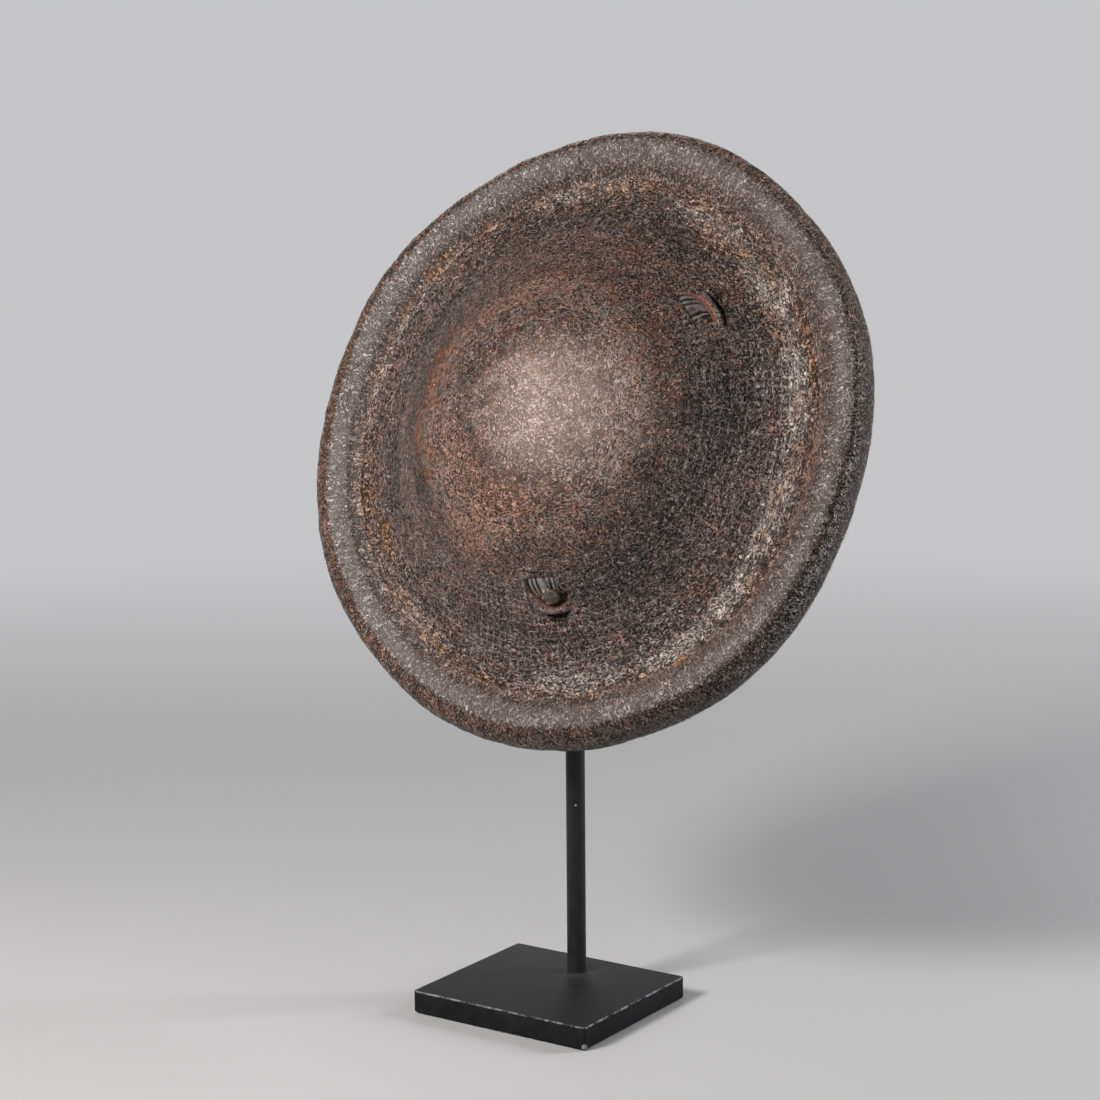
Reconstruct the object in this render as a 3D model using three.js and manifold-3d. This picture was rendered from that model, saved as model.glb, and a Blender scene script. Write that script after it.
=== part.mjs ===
// A round hide shield with a rolled rim, leaning back on a small steel display stand.
// Millimetres, +Z up, the shield's front looks along -Y, and +X is on the viewer's right.
// The origin is on the underside of the stand, in the middle of its base plate.
import * as THREE from 'three';
import { mergeVertices } from 'three/addons/utils/BufferGeometryUtils.js';
import Module from 'manifold-3d';

const wasm = await Module();
wasm.setup();

const degree = Math.PI / 180;

// Clearance between neighbouring pieces, and the overrun of a cutting tool past the piece it cuts
const fitGap = 0.3;
const overrun = 2;

// Hide: a bell-shaped dome, a shallow groove round it, and a rim rolled over to the back
const shieldRadius = 262.6;
const hideThickness = 7;
const domeHeight = 105;
const domeFullnessShare = 1.25;
const rollRadius = 20;
const rollSetback = 9;
const grooveRadius = 11;
const lipAngle = -65 * degree;
const hideFacets = 64;
const domeSteps = 12;
const grooveSteps = 2;
const rollSteps = 8;

// The hide shrank unevenly as it dried: lobes round the rim, their share of the radius, their peak
const outOfRoundShares = [
  { lobes: 1, share: 0.0165, peak: 165 * degree },
  { lobes: 2, share: 0.007, peak: -6 * degree },
  { lobes: 3, share: 0.006, peak: -55 * degree },
  { lobes: 5, share: 0.0025, peak: 12 * degree },
  { lobes: 6, share: 0.0056, peak: 23 * degree },
];

// Pose of the shield: the middle of its groove's plane, above the stand's underside and behind the
// post's axis, and how far it leans back
const shieldHeightPlace = 473.6;
const shieldSetback = 6.5;
const shieldLean = 19.9 * degree;

// The two places where the strap is knotted through the hide. Each has a wide opening and, past
// a bridge of hide, a curved slit. The outlines are shares of the opening's length and width.
const strapSlots = {
  upper: {
    radius: 152,
    angle: 42 * degree,
    length: 30,
    width: 15,
    slitLength: 34,
    slitSwayShare: 0.16,
    outlineShares: [[-0.52, -0.5], [0.48, -0.5], [0.46, 0.5], [-0.4, 0.5]],
  },
  lower: {
    radius: 142,
    angle: -78.5 * degree,
    length: 31,
    width: 23,
    slitLength: 27,
    slitSwayShare: 0.02,
    outlineShares: [[-0.46, -0.44], [0.44, -0.5], [0.5, 0.06], [0.22, 0.5], [-0.16, 0.5], [-0.5, 0.1]],
  },
};
const bridgeWidth = 6;
const slitWidth = 4.5;
const slitBow = 3.5;
const recessDepth = 4;
const knotSink = 1;

// Grip strap, its thong ties behind the hide, and the leather bound round the hand grip
const strapWidth = 24;
const strapThickness = 4;
const strapBend = 12;
const strapSteps = 6;
const tieLength = 8;
const tieWall = 3.5;
const gripBow = 12;
const gripRamp = 54;
const gripSteps = 24;
const wrapLength = 84;
const wrapWall = 3;

// Stand: felt, base plate, post and the screw that holds them together
const feltThickness = 1.6;
const feltInset = 3;
const plateWidth = 170;
const plateDepth = 152;
const plateThickness = 18;
const plateCornerRadius = 3;
const plateEdge = 0.8;
const postRadius = 8;
const postPlace = 40.9;
const postChamfer = 1;
const screwRadius = 5;
const screwHeadRadius = 8;
const screwHeadHeight = 9;
const screwGrip = 18;
const screwSocketRadius = 4;
const screwSocketDepth = 5;
const roundFacets = 24;

// Hanger: a block on the post's top, which stands above the middle of the shield, with a bent rod
// whose two felted ends hook the rolled rim
const headRise = 62.4;
const headWidth = 24;
const headHeight = 32;
const headBore = 17;
const hookSpacing = 90;
const hookRodRadius = 3;
const hookRun = 52;
const hookBend = 11;
const hookStandout = 3;
const hookSteps = 44;
const hookSides = 5;
const feltWall = 1.3;
const hookFeltLength = 26;

// Lower stop: a collar on the post with a short felted rod that the bottom lip rests against
const collarWall = 6;
const collarHeight = 14;
const stopRodRadius = 3;
const stopFeltWall = 2.5;
const stopFeltLength = 10;
const grubRadius = 3;
const grubSocketRadius = 1.5;
const grubSocketDepth = 3;
const grubStandout = 0.5;

const plateBottom = feltThickness;
const plateTop = plateBottom + plateThickness;
const headHeightPlace = shieldHeightPlace + headRise;

// Colours and finishes seen in the photograph
const finishes = {
  hide: { color: 0x3a2c26, roughness: 0.62, metalness: 0 },
  strap: { color: 0x2a2320, roughness: 0.5, metalness: 0 },
  thong: { color: 0x5a4130, roughness: 0.75, metalness: 0 },
  blackSteel: { color: 0x141414, roughness: 0.38, metalness: 0.1 },
  screwSteel: { color: 0x77787a, roughness: 0.35, metalness: 1 },
  felt: { color: 0x1b1b1c, roughness: 0.95, metalness: 0 },
};

const model = new THREE.Group();
const shield = new THREE.Group();
shield.position.set(0, postPlace + shieldSetback, shieldHeightPlace);
shield.rotation.x = Math.PI / 2 - shieldLean;
model.add(shield);

function addPiece(group, name, geometry, finish) {
  const mesh = new THREE.Mesh(geometry, new THREE.MeshStandardMaterial(finishes[finish]));
  mesh.name = name;
  group.add(mesh);
  return mesh;
}

// Welds a geometry's corners and leaves out triangles that the welding has flattened
function weld(geometry) {
  const bare = geometry.clone();
  bare.deleteAttribute('normal');
  bare.deleteAttribute('uv');
  const welded = mergeVertices(bare);
  const kept = [];
  for (let i = 0; i < welded.index.count; i += 3) {
    const [a, b, c] = [0, 1, 2].map((k) => welded.index.getX(i + k));
    if (a !== b && b !== c && c !== a) kept.push(a, b, c);
  }
  welded.setIndex(kept);
  return welded;
}

function toSolid(geometry) {
  const welded = weld(geometry);
  return new wasm.Manifold(new wasm.Mesh({
    numProp: 3,
    vertProperties: new Float32Array(welded.attributes.position.array),
    triVerts: new Uint32Array(welded.index.array),
  }));
}

function toGeometry(solid) {
  const mesh = solid.getMesh();
  const geometry = new THREE.BufferGeometry();
  geometry.setAttribute('position', new THREE.BufferAttribute(mesh.vertProperties, 3));
  geometry.setIndex(new THREE.BufferAttribute(mesh.triVerts, 1));
  geometry.computeVertexNormals();
  return geometry;
}

function cutAway(geometry, tools) {
  const cut = tools.reduce((solid, tool) => solid.subtract(toSolid(tool)), toSolid(geometry));
  return toGeometry(cut);
}

function joined(parts) {
  const [first, ...rest] = parts.map(toSolid);
  return toGeometry(rest.reduce((solid, part) => solid.add(part), first));
}

// A solid of revolution about Z from [radius, height] points
function turned(points, facets) {
  const outline = points.map(([radius, height]) => new THREE.Vector2(radius, height));
  return new THREE.LatheGeometry(outline, facets).rotateX(Math.PI / 2);
}

function rod(radius, bottom, top, facets = roundFacets) {
  return turned([[0, bottom], [radius, bottom], [radius, top], [0, top]], facets);
}

function roundedRectangle(width, height, corner) {
  const [x, y] = [width / 2, height / 2];
  const shape = new THREE.Shape();
  shape.moveTo(corner - x, -y);
  shape.lineTo(x - corner, -y);
  shape.absarc(x - corner, corner - y, corner, -Math.PI / 2, 0);
  shape.lineTo(x, y - corner);
  shape.absarc(x - corner, y - corner, corner, 0, Math.PI / 2);
  shape.lineTo(corner - x, y);
  shape.absarc(corner - x, y - corner, corner, Math.PI / 2, Math.PI);
  shape.lineTo(-x, corner - y);
  shape.absarc(corner - x, corner - y, corner, Math.PI, Math.PI * 3 / 2);
  return shape;
}

// Hide section: the dome is a bell curve, and the groove and the rolled rim are two arcs that meet
const rollCentre = [shieldRadius - rollRadius, -rollSetback];
const grooveReach = Math.sqrt((grooveRadius + rollRadius) ** 2 - (rollSetback + grooveRadius) ** 2);
const grooveCentre = [rollCentre[0] - grooveReach, grooveRadius];
const valleyRadius = grooveCentre[0];
const meetAngle = Math.atan2(-rollSetback - grooveRadius, grooveReach);

function domeFront(radius) {
  const turn = Math.PI * (radius / valleyRadius) ** domeFullnessShare;
  return domeHeight / 2 * (1 + Math.cos(turn));
}

function domeSlope(radius) {
  const share = radius / valleyRadius;
  const turn = Math.PI * share ** domeFullnessShare;
  const turnRate = Math.PI * domeFullnessShare * share ** (domeFullnessShare - 1) / valleyRadius;
  return -domeHeight / 2 * Math.sin(turn) * turnRate;
}

// Points of the hide's section, a given depth under its front face
function hideSection(depth) {
  const points = [];
  for (let i = 0; i < domeSteps; i += 1) {
    const radius = valleyRadius * i / domeSteps;
    const tilt = Math.atan(-domeSlope(radius));
    points.push([radius - depth * Math.sin(tilt), domeFront(radius) - depth * Math.cos(tilt)]);
  }
  for (let i = 0; i < grooveSteps; i += 1) {
    const angle = -Math.PI / 2 + (meetAngle + Math.PI / 2) * i / grooveSteps;
    const reach = grooveRadius + depth;
    points.push([grooveCentre[0] + reach * Math.cos(angle), grooveCentre[1] + reach * Math.sin(angle)]);
  }
  for (let i = 0; i <= rollSteps; i += 1) {
    const start = meetAngle + Math.PI;
    const angle = start + (lipAngle - start) * i / rollSteps;
    const reach = rollRadius - depth;
    points.push([rollCentre[0] + reach * Math.cos(angle), rollCentre[1] + reach * Math.sin(angle)]);
  }
  return points;
}

function outOfRound(angle) {
  const waves = outOfRoundShares.map(({ lobes, share, peak }) => share * Math.cos(lobes * (angle - peak)));
  return 1 + waves.reduce((sum, wave) => sum + wave, 0);
}

// The share by which a point of the hide moves out or in: in full at the rim, not at all in the middle
function settleShare(radius, angle) {
  return 1 + (outOfRound(angle) - 1) * radius / shieldRadius;
}

function settle(geometry) {
  const place = geometry.attributes.position;
  for (let i = 0; i < place.count; i += 1) {
    const [x, y] = [place.getX(i), place.getY(i)];
    const share = settleShare(Math.hypot(x, y), Math.atan2(y, x));
    place.setXY(i, x * share, y * share);
  }
  return geometry;
}

// The frame of a strap slot on the hide's front face: X along the slot, Y down the slope to the
// rim, Z out of the hide
function slotFrame({ radius, angle }) {
  const tilt = Math.atan(-domeSlope(radius));
  const outward = new THREE.Vector3(Math.cos(angle), Math.sin(angle), 0);
  const along = new THREE.Vector3(Math.sin(angle), -Math.cos(angle), 0);
  const slope = outward.clone().multiplyScalar(Math.cos(tilt)).setZ(-Math.sin(tilt));
  const normal = outward.clone().multiplyScalar(Math.sin(tilt)).setZ(Math.cos(tilt));
  const frame = new THREE.Matrix4().makeBasis(along, slope, normal);
  const reach = radius * settleShare(radius, angle);
  return frame.setPosition(outward.clone().multiplyScalar(reach).setZ(domeFront(radius)));
}

// The opening's outline, drawn in by a margin, as a block from one depth to another
function openingBlock({ length, width, outlineShares }, margin, bottom, top) {
  const [x, y] = [length - margin * 2, width - margin * 2];
  const outline = outlineShares.map(([along, across]) => new THREE.Vector2(along * x, across * y));
  const settings = { depth: top - bottom, bevelEnabled: false };
  return new THREE.ExtrudeGeometry(new THREE.Shape(outline), settings).translate(0, 0, bottom);
}

function slitCutter({ width, slitLength, slitSwayShare }) {
  const near = width / 2 + bridgeWidth;
  const [left, right] = [-slitLength / 2, slitLength / 2];
  const shape = new THREE.Shape();
  shape.moveTo(left, near);
  shape.quadraticCurveTo(0, near + slitBow, right, near);
  shape.quadraticCurveTo(0, near + slitBow + slitWidth * 2, left, near);
  const settings = { depth: hideThickness + overrun * 4, curveSegments: 6, bevelEnabled: false };
  const bottom = -hideThickness - overrun * 2;
  return new THREE.ExtrudeGeometry(shape, settings).translate(slitSwayShare * slitLength, 0, bottom);
}

function shankCutter() {
  const shape = roundedRectangle(strapWidth + fitGap * 2, strapThickness + fitGap * 2, fitGap);
  const settings = { depth: hideThickness + overrun * 2, curveSegments: 1, bevelEnabled: false };
  return new THREE.ExtrudeGeometry(shape, settings).translate(0, 0, -hideThickness - overrun);
}

function buildHide() {
  const front = hideSection(0).reverse();
  const back = hideSection(hideThickness);
  const hide = settle(turned([...back, ...front], hideFacets));
  const tools = Object.values(strapSlots).flatMap((slot) => {
    const recess = openingBlock(slot, 0, -recessDepth, overrun * 2);
    return [recess, slitCutter(slot), shankCutter()].map((tool) => tool.applyMatrix4(slotFrame(slot)));
  });
  addPiece(shield, 'hide_shell', cutAway(hide, tools), 'hide');
}

// Where the strap turns behind each slot. The line through both turns is the grip's swing axis.
function turnPoint(slot) {
  const depth = hideThickness + backSag(slot) + tieLength + fitGap * 2 + strapBend;
  return new THREE.Vector3(0, 0, -depth).applyMatrix4(slotFrame(slot));
}
const upperTurn = turnPoint(strapSlots.upper);
const lowerTurn = turnPoint(strapSlots.lower);
const gripDirection = lowerTurn.clone().sub(upperTurn).normalize();
const gripAcross = new THREE.Vector3(0, 0, 1).cross(gripDirection).normalize();
const gripBack = gripAcross.clone().cross(gripDirection).normalize();

// A flat strap through sections, each with a place, a running direction and a width direction
function ribbon(sections, width, thickness) {
  const [x, y] = [width / 2, thickness / 2];
  const edge = y / 2;
  const corners = [
    [-x, -edge], [edge - x, -y], [x - edge, -y], [x, -edge],
    [x, edge], [x - edge, y], [edge - x, y], [-x, edge],
  ];
  const places = [];
  sections.forEach(({ place, run, across }) => {
    const wide = across.clone().addScaledVector(run, -across.dot(run)).normalize();
    const face = run.clone().cross(wide).normalize();
    corners.forEach(([along, up]) => {
      places.push(place.clone().addScaledVector(wide, along).addScaledVector(face, up));
    });
  });
  const count = corners.length;
  const index = [];
  for (let i = 0; i < sections.length - 1; i += 1) {
    for (let k = 0; k < count; k += 1) {
      const [a, b] = [i * count + k, i * count + (k + 1) % count];
      index.push(a, b, b + count, a, b + count, a + count);
    }
  }
  const last = (sections.length - 1) * count;
  for (let k = 1; k < count - 1; k += 1) {
    index.push(0, k + 1, k, last, last + k, last + k + 1);
  }
  const geometry = new THREE.BufferGeometry().setFromPoints(places);
  geometry.setIndex(index);
  geometry.computeVertexNormals();
  return geometry;
}

// The strap's end: a knot in the opening, a shank through the hide, and a turn onto the grip's line
function buildStrapEnd(name, slot, turn, onward) {
  const frame = slotFrame(slot);
  const knot = openingBlock(slot, fitGap, fitGap - recessDepth, -knotSink).applyMatrix4(frame);
  const inward = new THREE.Vector3(0, 0, -1).transformDirection(frame);
  const slotAcross = new THREE.Vector3(1, 0, 0).transformDirection(frame);
  const endAcross = gripAcross.clone().multiplyScalar(Math.sign(gripAcross.dot(slotAcross)));
  const start = turn.clone().addScaledVector(inward, -strapBend);
  const end = turn.clone().addScaledVector(onward, strapBend - fitGap);
  const bend = new THREE.QuadraticBezierCurve3(start, turn, end);
  const knotHeart = new THREE.Vector3(0, 0, (fitGap - recessDepth - knotSink) / 2).applyMatrix4(frame);
  const sections = [{ place: knotHeart, run: inward, across: slotAcross }];
  for (let i = 0; i <= strapSteps; i += 1) {
    const share = i / strapSteps;
    const across = slotAcross.clone().lerp(endAcross, share).normalize();
    sections.push({ place: bend.getPoint(share), run: bend.getTangent(share), across });
  }
  addPiece(shield, name, joined([knot, ribbon(sections, strapWidth, strapThickness)]), 'strap');
}

// A flat ring round a strap of the grip's section, from one height to another along Z
function strapRing(wall, bottom, top) {
  const [width, height] = [strapWidth + fitGap * 2, strapThickness + fitGap * 2];
  const shape = roundedRectangle(width + wall * 2, height + wall * 2, wall);
  shape.holes.push(roundedRectangle(width, height, fitGap));
  const settings = { depth: top - bottom, curveSegments: 3, bevelEnabled: false };
  return new THREE.ExtrudeGeometry(shape, settings).translate(0, 0, bottom);
}

// How far the hide's hollow back, and its facets, stand in towards a flat tie's ends
function backSag({ radius }) {
  const tilt = Math.atan(-domeSlope(radius));
  const curve = (strapWidth / 2 + fitGap + tieWall) ** 2 * Math.sin(tilt) / radius / 2;
  return curve + radius * (1 - Math.cos(Math.PI / hideFacets));
}

function buildTie(name, slot) {
  const top = -hideThickness - fitGap - backSag(slot);
  const ring = strapRing(tieWall, top - tieLength, top);
  addPiece(shield, name, ring.applyMatrix4(slotFrame(slot)), 'thong');
}

// How far behind its swing axis the grip strap runs, at a distance from its upper end
function gripOffset(distance, length) {
  const share = Math.min(1, Math.min(distance, length - distance) / gripRamp);
  return gripBow * (1 - Math.cos(Math.PI * share)) / 2;
}

const gripStart = upperTurn.clone().addScaledVector(gripDirection, strapBend + fitGap);
const gripLength = lowerTurn.distanceTo(upperTurn) - (strapBend + fitGap) * 2;

function gripPlace(distance) {
  const behind = gripOffset(distance, gripLength);
  return gripStart.clone().addScaledVector(gripDirection, distance).addScaledVector(gripBack, behind);
}

function buildGrip() {
  const sections = [];
  for (let i = 0; i <= gripSteps; i += 1) {
    const distance = gripLength * i / gripSteps;
    const step = gripLength / gripSteps / 2;
    const before = gripPlace(Math.max(0, distance - step));
    const after = gripPlace(Math.min(gripLength, distance + step));
    const level = i === 0 || i === gripSteps;
    const run = level ? gripDirection : after.sub(before).normalize();
    sections.push({ place: gripPlace(distance), run, across: gripAcross });
  }
  addPiece(shield, 'grip_strap', ribbon(sections, strapWidth, strapThickness), 'strap');

  const middle = gripPlace(gripLength / 2);
  const face = gripDirection.clone().cross(gripAcross);
  const frame = new THREE.Matrix4().makeBasis(gripAcross, face, gripDirection);
  const wrap = strapRing(wrapWall, -wrapLength / 2, wrapLength / 2).applyMatrix4(frame.setPosition(middle));
  addPiece(shield, 'grip_wrap', wrap, 'thong');
}

function buildBase() {
  const felt = roundedRectangle(plateWidth - feltInset * 2, plateDepth - feltInset * 2, plateCornerRadius);
  const hole = new THREE.Path().absarc(0, postPlace, screwHeadRadius + fitGap + feltInset, 0, Math.PI * 2);
  felt.holes.push(hole);
  const feltSettings = { depth: feltThickness, curveSegments: roundFacets / 3, bevelEnabled: false };
  addPiece(model, 'base_felt', new THREE.ExtrudeGeometry(felt, feltSettings), 'felt');

  const outline = roundedRectangle(
    plateWidth - plateEdge * 2, plateDepth - plateEdge * 2, plateCornerRadius - plateEdge,
  );
  const settings = {
    depth: plateThickness - plateEdge * 2,
    curveSegments: 4,
    bevelSize: plateEdge,
    bevelThickness: plateEdge,
    bevelSegments: 1,
  };
  const plate = new THREE.ExtrudeGeometry(outline, settings).translate(0, 0, plateBottom + plateEdge);
  const headTop = plateBottom + screwHeadHeight + fitGap * 2;
  const headHole = rod(screwHeadRadius + fitGap, plateBottom - overrun, headTop);
  const shankHole = rod(screwRadius + fitGap, plateBottom, plateTop + overrun);
  const tools = [headHole, shankHole].map((tool) => tool.translate(0, postPlace, 0));
  addPiece(model, 'base_plate', cutAway(plate, tools), 'blackSteel');
}

function hexSocket(radius, bottom, top) {
  return rod(radius, bottom, top, 6);
}

function buildPost() {
  const top = headHeightPlace;
  const holeTop = plateTop + screwGrip + fitGap * 2;
  const holeRadius = screwRadius + fitGap;
  const post = turned([
    [0, holeTop], [holeRadius, holeTop], [holeRadius, plateTop], [postRadius, plateTop],
    [postRadius, top - postChamfer], [postRadius - postChamfer, top], [0, top],
  ], roundFacets);
  addPiece(model, 'post', post, 'blackSteel').position.y = postPlace;

  const headBottom = plateBottom + fitGap;
  const headTop = plateBottom + screwHeadHeight + fitGap;
  const screw = turned([
    [0, headBottom], [screwHeadRadius, headBottom], [screwHeadRadius, headTop], [screwRadius, headTop],
    [screwRadius, plateTop + screwGrip - postChamfer], [screwRadius - postChamfer, plateTop + screwGrip],
    [0, plateTop + screwGrip],
  ], roundFacets);
  const socket = hexSocket(screwSocketRadius, headBottom - overrun, headBottom + screwSocketDepth);
  addPiece(model, 'base_screw', cutAway(screw, [socket]), 'screwSteel').position.y = postPlace;
}

// A grub screw along +Y whose tip faces the post and whose socket faces away from it
function buildGrub(name, length, height) {
  const grub = cutAway(rod(grubRadius, 0, length), [
    hexSocket(grubSocketRadius, length - grubSocketDepth, length + overrun),
  ]);
  const piece = addPiece(model, name, grub.rotateX(-Math.PI / 2), 'screwSteel');
  piece.position.set(0, postPlace + postRadius + fitGap, height);
}

// A point of the shield's own frame, in the frame of the stand
function standPoint(x, y, z) {
  const place = new THREE.Vector3(x, y, z).applyAxisAngle(new THREE.Vector3(1, 0, 0), shield.rotation.x);
  return place.add(shield.position);
}

// The rim's facets cut inside its true arcs by this much at the middle of each
const facetSag = shieldRadius * (1 - Math.cos(Math.PI / hideFacets));
const channelRadius = rollRadius - hideThickness;
const hookFeltRadius = hookRodRadius + fitGap + feltWall;
const hookDepth = -hideThickness - fitGap - hookFeltRadius;

// The place up the slope where a hook's round end sits in the channel behind the rolled rim
function hookTip(x) {
  const slack = channelRadius - hookFeltRadius - fitGap - facetSag;
  const reach = Math.sqrt(Math.max(0, slack ** 2 - (hookDepth - rollCentre[1]) ** 2));
  const angle = Math.atan2(rollCentre[0], Math.abs(x));
  const radius = (rollCentre[0] + reach) * outOfRound(x < 0 ? Math.PI - angle : angle);
  return Math.sqrt(radius ** 2 - x ** 2);
}

function buildHanger() {
  const crossHeight = headHeightPlace + (headHeight - headBore) / 2;
  const block = new THREE.BoxGeometry(headWidth, headWidth, headHeight);
  block.translate(0, postPlace, headHeightPlace - headBore + headHeight / 2);
  const bore = rod(postRadius + fitGap, headHeightPlace - headBore - overrun, headHeightPlace + fitGap);
  const crossHole = rod(hookRodRadius + fitGap, -headWidth, headWidth).rotateY(Math.PI / 2);
  const grubHeight = headHeightPlace - headBore / 2;
  const grubHole = rod(grubRadius + fitGap, 0, headWidth).rotateX(-Math.PI / 2);
  const head = cutAway(block, [
    bore.translate(0, postPlace, 0),
    crossHole.translate(0, postPlace, crossHeight),
    grubHole.translate(0, postPlace, grubHeight),
  ]);
  addPiece(model, 'hanger_head', head, 'blackSteel');
  buildGrub('head_grub_screw', headWidth / 2 - postRadius + grubStandout, grubHeight);

  const sides = [-1, 1].map((side) => {
    const x = side * hookSpacing / 2;
    const tip = hookTip(x);
    return {
      knee: new THREE.Vector3(side * (headWidth / 2 + hookStandout + hookBend), postPlace, crossHeight),
      root: standPoint(x, tip - hookRun, hookDepth),
      tip: standPoint(x, tip, hookDepth),
    };
  });
  const corners = [sides[0].tip, sides[0].root, sides[0].knee, sides[1].knee, sides[1].root, sides[1].tip];
  const section = new THREE.Shape().absarc(0, 0, hookRodRadius, 0, Math.PI * 2);
  const settings = { extrudePath: bentPath(corners, hookBend), steps: hookSteps, curveSegments: hookSides };
  addPiece(model, 'hanger_fork', new THREE.ExtrudeGeometry(section, settings), 'blackSteel');

  sides.forEach(({ root, tip }, i) => {
    const sleeve = feltCap(hookRodRadius, hookFeltRadius, hookFeltLength, true);
    const run = tip.clone().sub(root).normalize();
    const frame = new THREE.Quaternion().setFromUnitVectors(new THREE.Vector3(0, 0, 1), run);
    const felt = addPiece(model, i === 0 ? 'left_hook_felt' : 'right_hook_felt', sleeve, 'felt');
    felt.quaternion.copy(frame);
    felt.position.copy(tip);
  });
}

// A path through corners, each rounded off from a given distance before it to as far after it
function bentPath(corners, bend) {
  const path = new THREE.CurvePath();
  let from = corners[0];
  corners.slice(1, -1).forEach((corner, i) => {
    const before = corners[i].clone().sub(corner).normalize().multiplyScalar(bend).add(corner);
    const after = corners[i + 2].clone().sub(corner).normalize().multiplyScalar(bend).add(corner);
    path.add(new THREE.LineCurve3(from, before));
    path.add(new THREE.QuadraticBezierCurve3(before, corner, after));
    from = after;
  });
  path.add(new THREE.LineCurve3(from, corners[corners.length - 1]));
  return path;
}

// A felt cap over the end of a rod that runs up +Z to the origin. Its end is round or flat.
function feltCap(rodRadius, radius, length, round) {
  const inner = rodRadius + fitGap;
  const end = round
    ? [0, 1, 2, 3].map((i) => [radius * Math.cos(i * Math.PI / 6), radius * Math.sin(i * Math.PI / 6)])
    : [[radius, radius - inner], [0, radius - inner]];
  end[end.length - 1][0] = 0;
  const bottom = -length;
  return turned([[0, fitGap], [inner, fitGap], [inner, bottom], [radius, bottom], ...end], roundFacets / 2);
}

function buildStop() {
  const lipReach = (rollCentre[0] + rollRadius * Math.cos(lipAngle)) * outOfRound(-Math.PI / 2);
  const lipCorner = standPoint(0, -lipReach, rollCentre[1] + rollRadius * Math.sin(lipAngle));
  const feltRadius = stopRodRadius + fitGap + stopFeltWall;
  const tip = lipCorner.y + fitGap + stopFeltWall;
  const height = lipCorner.z;
  const collarRadius = postRadius + fitGap + collarWall;

  const boreRadius = postRadius + fitGap;
  const [bottom, top] = [height - collarHeight / 2, height + collarHeight / 2];
  const collar = turned([
    [boreRadius, bottom], [collarRadius, bottom],
    [collarRadius, top], [boreRadius, top], [boreRadius, bottom],
  ], roundFacets).translate(0, postPlace, 0);
  const rodHole = rod(stopRodRadius + fitGap, 0, collarRadius + overrun).rotateX(Math.PI / 2);
  const grubHole = rod(grubRadius + fitGap, 0, collarRadius + overrun).rotateX(-Math.PI / 2);
  const tools = [rodHole, grubHole].map((tool) => tool.translate(0, postPlace, height));
  addPiece(model, 'stop_collar', cutAway(collar, tools), 'blackSteel');
  buildGrub('collar_grub_screw', collarWall + grubStandout, height);

  const start = postPlace - postRadius - fitGap * 2;
  const stopRod = addPiece(model, 'stop_rod', rod(stopRodRadius, 0, start - tip), 'blackSteel');
  stopRod.rotation.x = Math.PI / 2;
  stopRod.position.set(0, start, height);
  const cap = feltCap(stopRodRadius, feltRadius, stopFeltLength, false);
  const felt = addPiece(model, 'stop_felt', cap, 'felt');
  felt.rotation.x = Math.PI / 2;
  felt.position.set(0, tip, height);
}

buildHide();
buildStrapEnd('upper_strap_knot', strapSlots.upper, upperTurn, gripDirection);
buildStrapEnd('lower_strap_knot', strapSlots.lower, lowerTurn, gripDirection.clone().negate());
buildTie('upper_thong_tie', strapSlots.upper);
buildTie('lower_thong_tie', strapSlots.lower);
buildGrip();
buildBase();
buildPost();
buildHanger();
buildStop();

export default model;
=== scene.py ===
import itertools
import math

import bmesh
import bpy
import numpy as np
from mathutils import Matrix, Vector


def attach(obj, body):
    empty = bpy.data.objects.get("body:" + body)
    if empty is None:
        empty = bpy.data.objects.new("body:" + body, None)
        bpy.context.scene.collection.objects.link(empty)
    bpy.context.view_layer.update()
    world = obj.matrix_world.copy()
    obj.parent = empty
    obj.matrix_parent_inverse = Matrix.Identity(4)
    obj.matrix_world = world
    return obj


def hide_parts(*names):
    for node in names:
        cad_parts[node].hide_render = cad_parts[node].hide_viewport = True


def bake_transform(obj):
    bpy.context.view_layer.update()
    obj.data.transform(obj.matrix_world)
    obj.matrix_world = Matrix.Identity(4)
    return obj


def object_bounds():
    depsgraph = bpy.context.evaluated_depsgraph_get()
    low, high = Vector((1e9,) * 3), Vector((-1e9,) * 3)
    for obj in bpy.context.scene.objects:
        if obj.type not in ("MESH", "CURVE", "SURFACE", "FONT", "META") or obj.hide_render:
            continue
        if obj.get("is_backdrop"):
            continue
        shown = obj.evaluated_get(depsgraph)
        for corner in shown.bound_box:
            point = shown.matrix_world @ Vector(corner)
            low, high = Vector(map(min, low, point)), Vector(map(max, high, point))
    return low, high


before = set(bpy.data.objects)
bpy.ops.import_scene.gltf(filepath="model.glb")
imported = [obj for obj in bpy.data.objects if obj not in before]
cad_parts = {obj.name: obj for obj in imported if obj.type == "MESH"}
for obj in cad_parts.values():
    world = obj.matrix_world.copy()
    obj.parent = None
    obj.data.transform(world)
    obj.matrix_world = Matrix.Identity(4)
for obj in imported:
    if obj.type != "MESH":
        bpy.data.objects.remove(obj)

cad_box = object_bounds()

mm = 0.001
degree = math.pi / 180
fit_gap = 0.3 * mm
tiny = 1e-12

# Camera, fitted to the stand's plate and the shield's outline
camera_azimuth = 34.2 * degree
camera_elevation = 8.81 * degree
camera_roll = -0.49 * degree
camera_distance = 2023 * mm
camera_target = Vector((4.09, 0, 385.07)) * mm
camera_lens = 81.8
sensor_width = 36
clip_start = 50 * mm
clip_end = 60000 * mm

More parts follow.
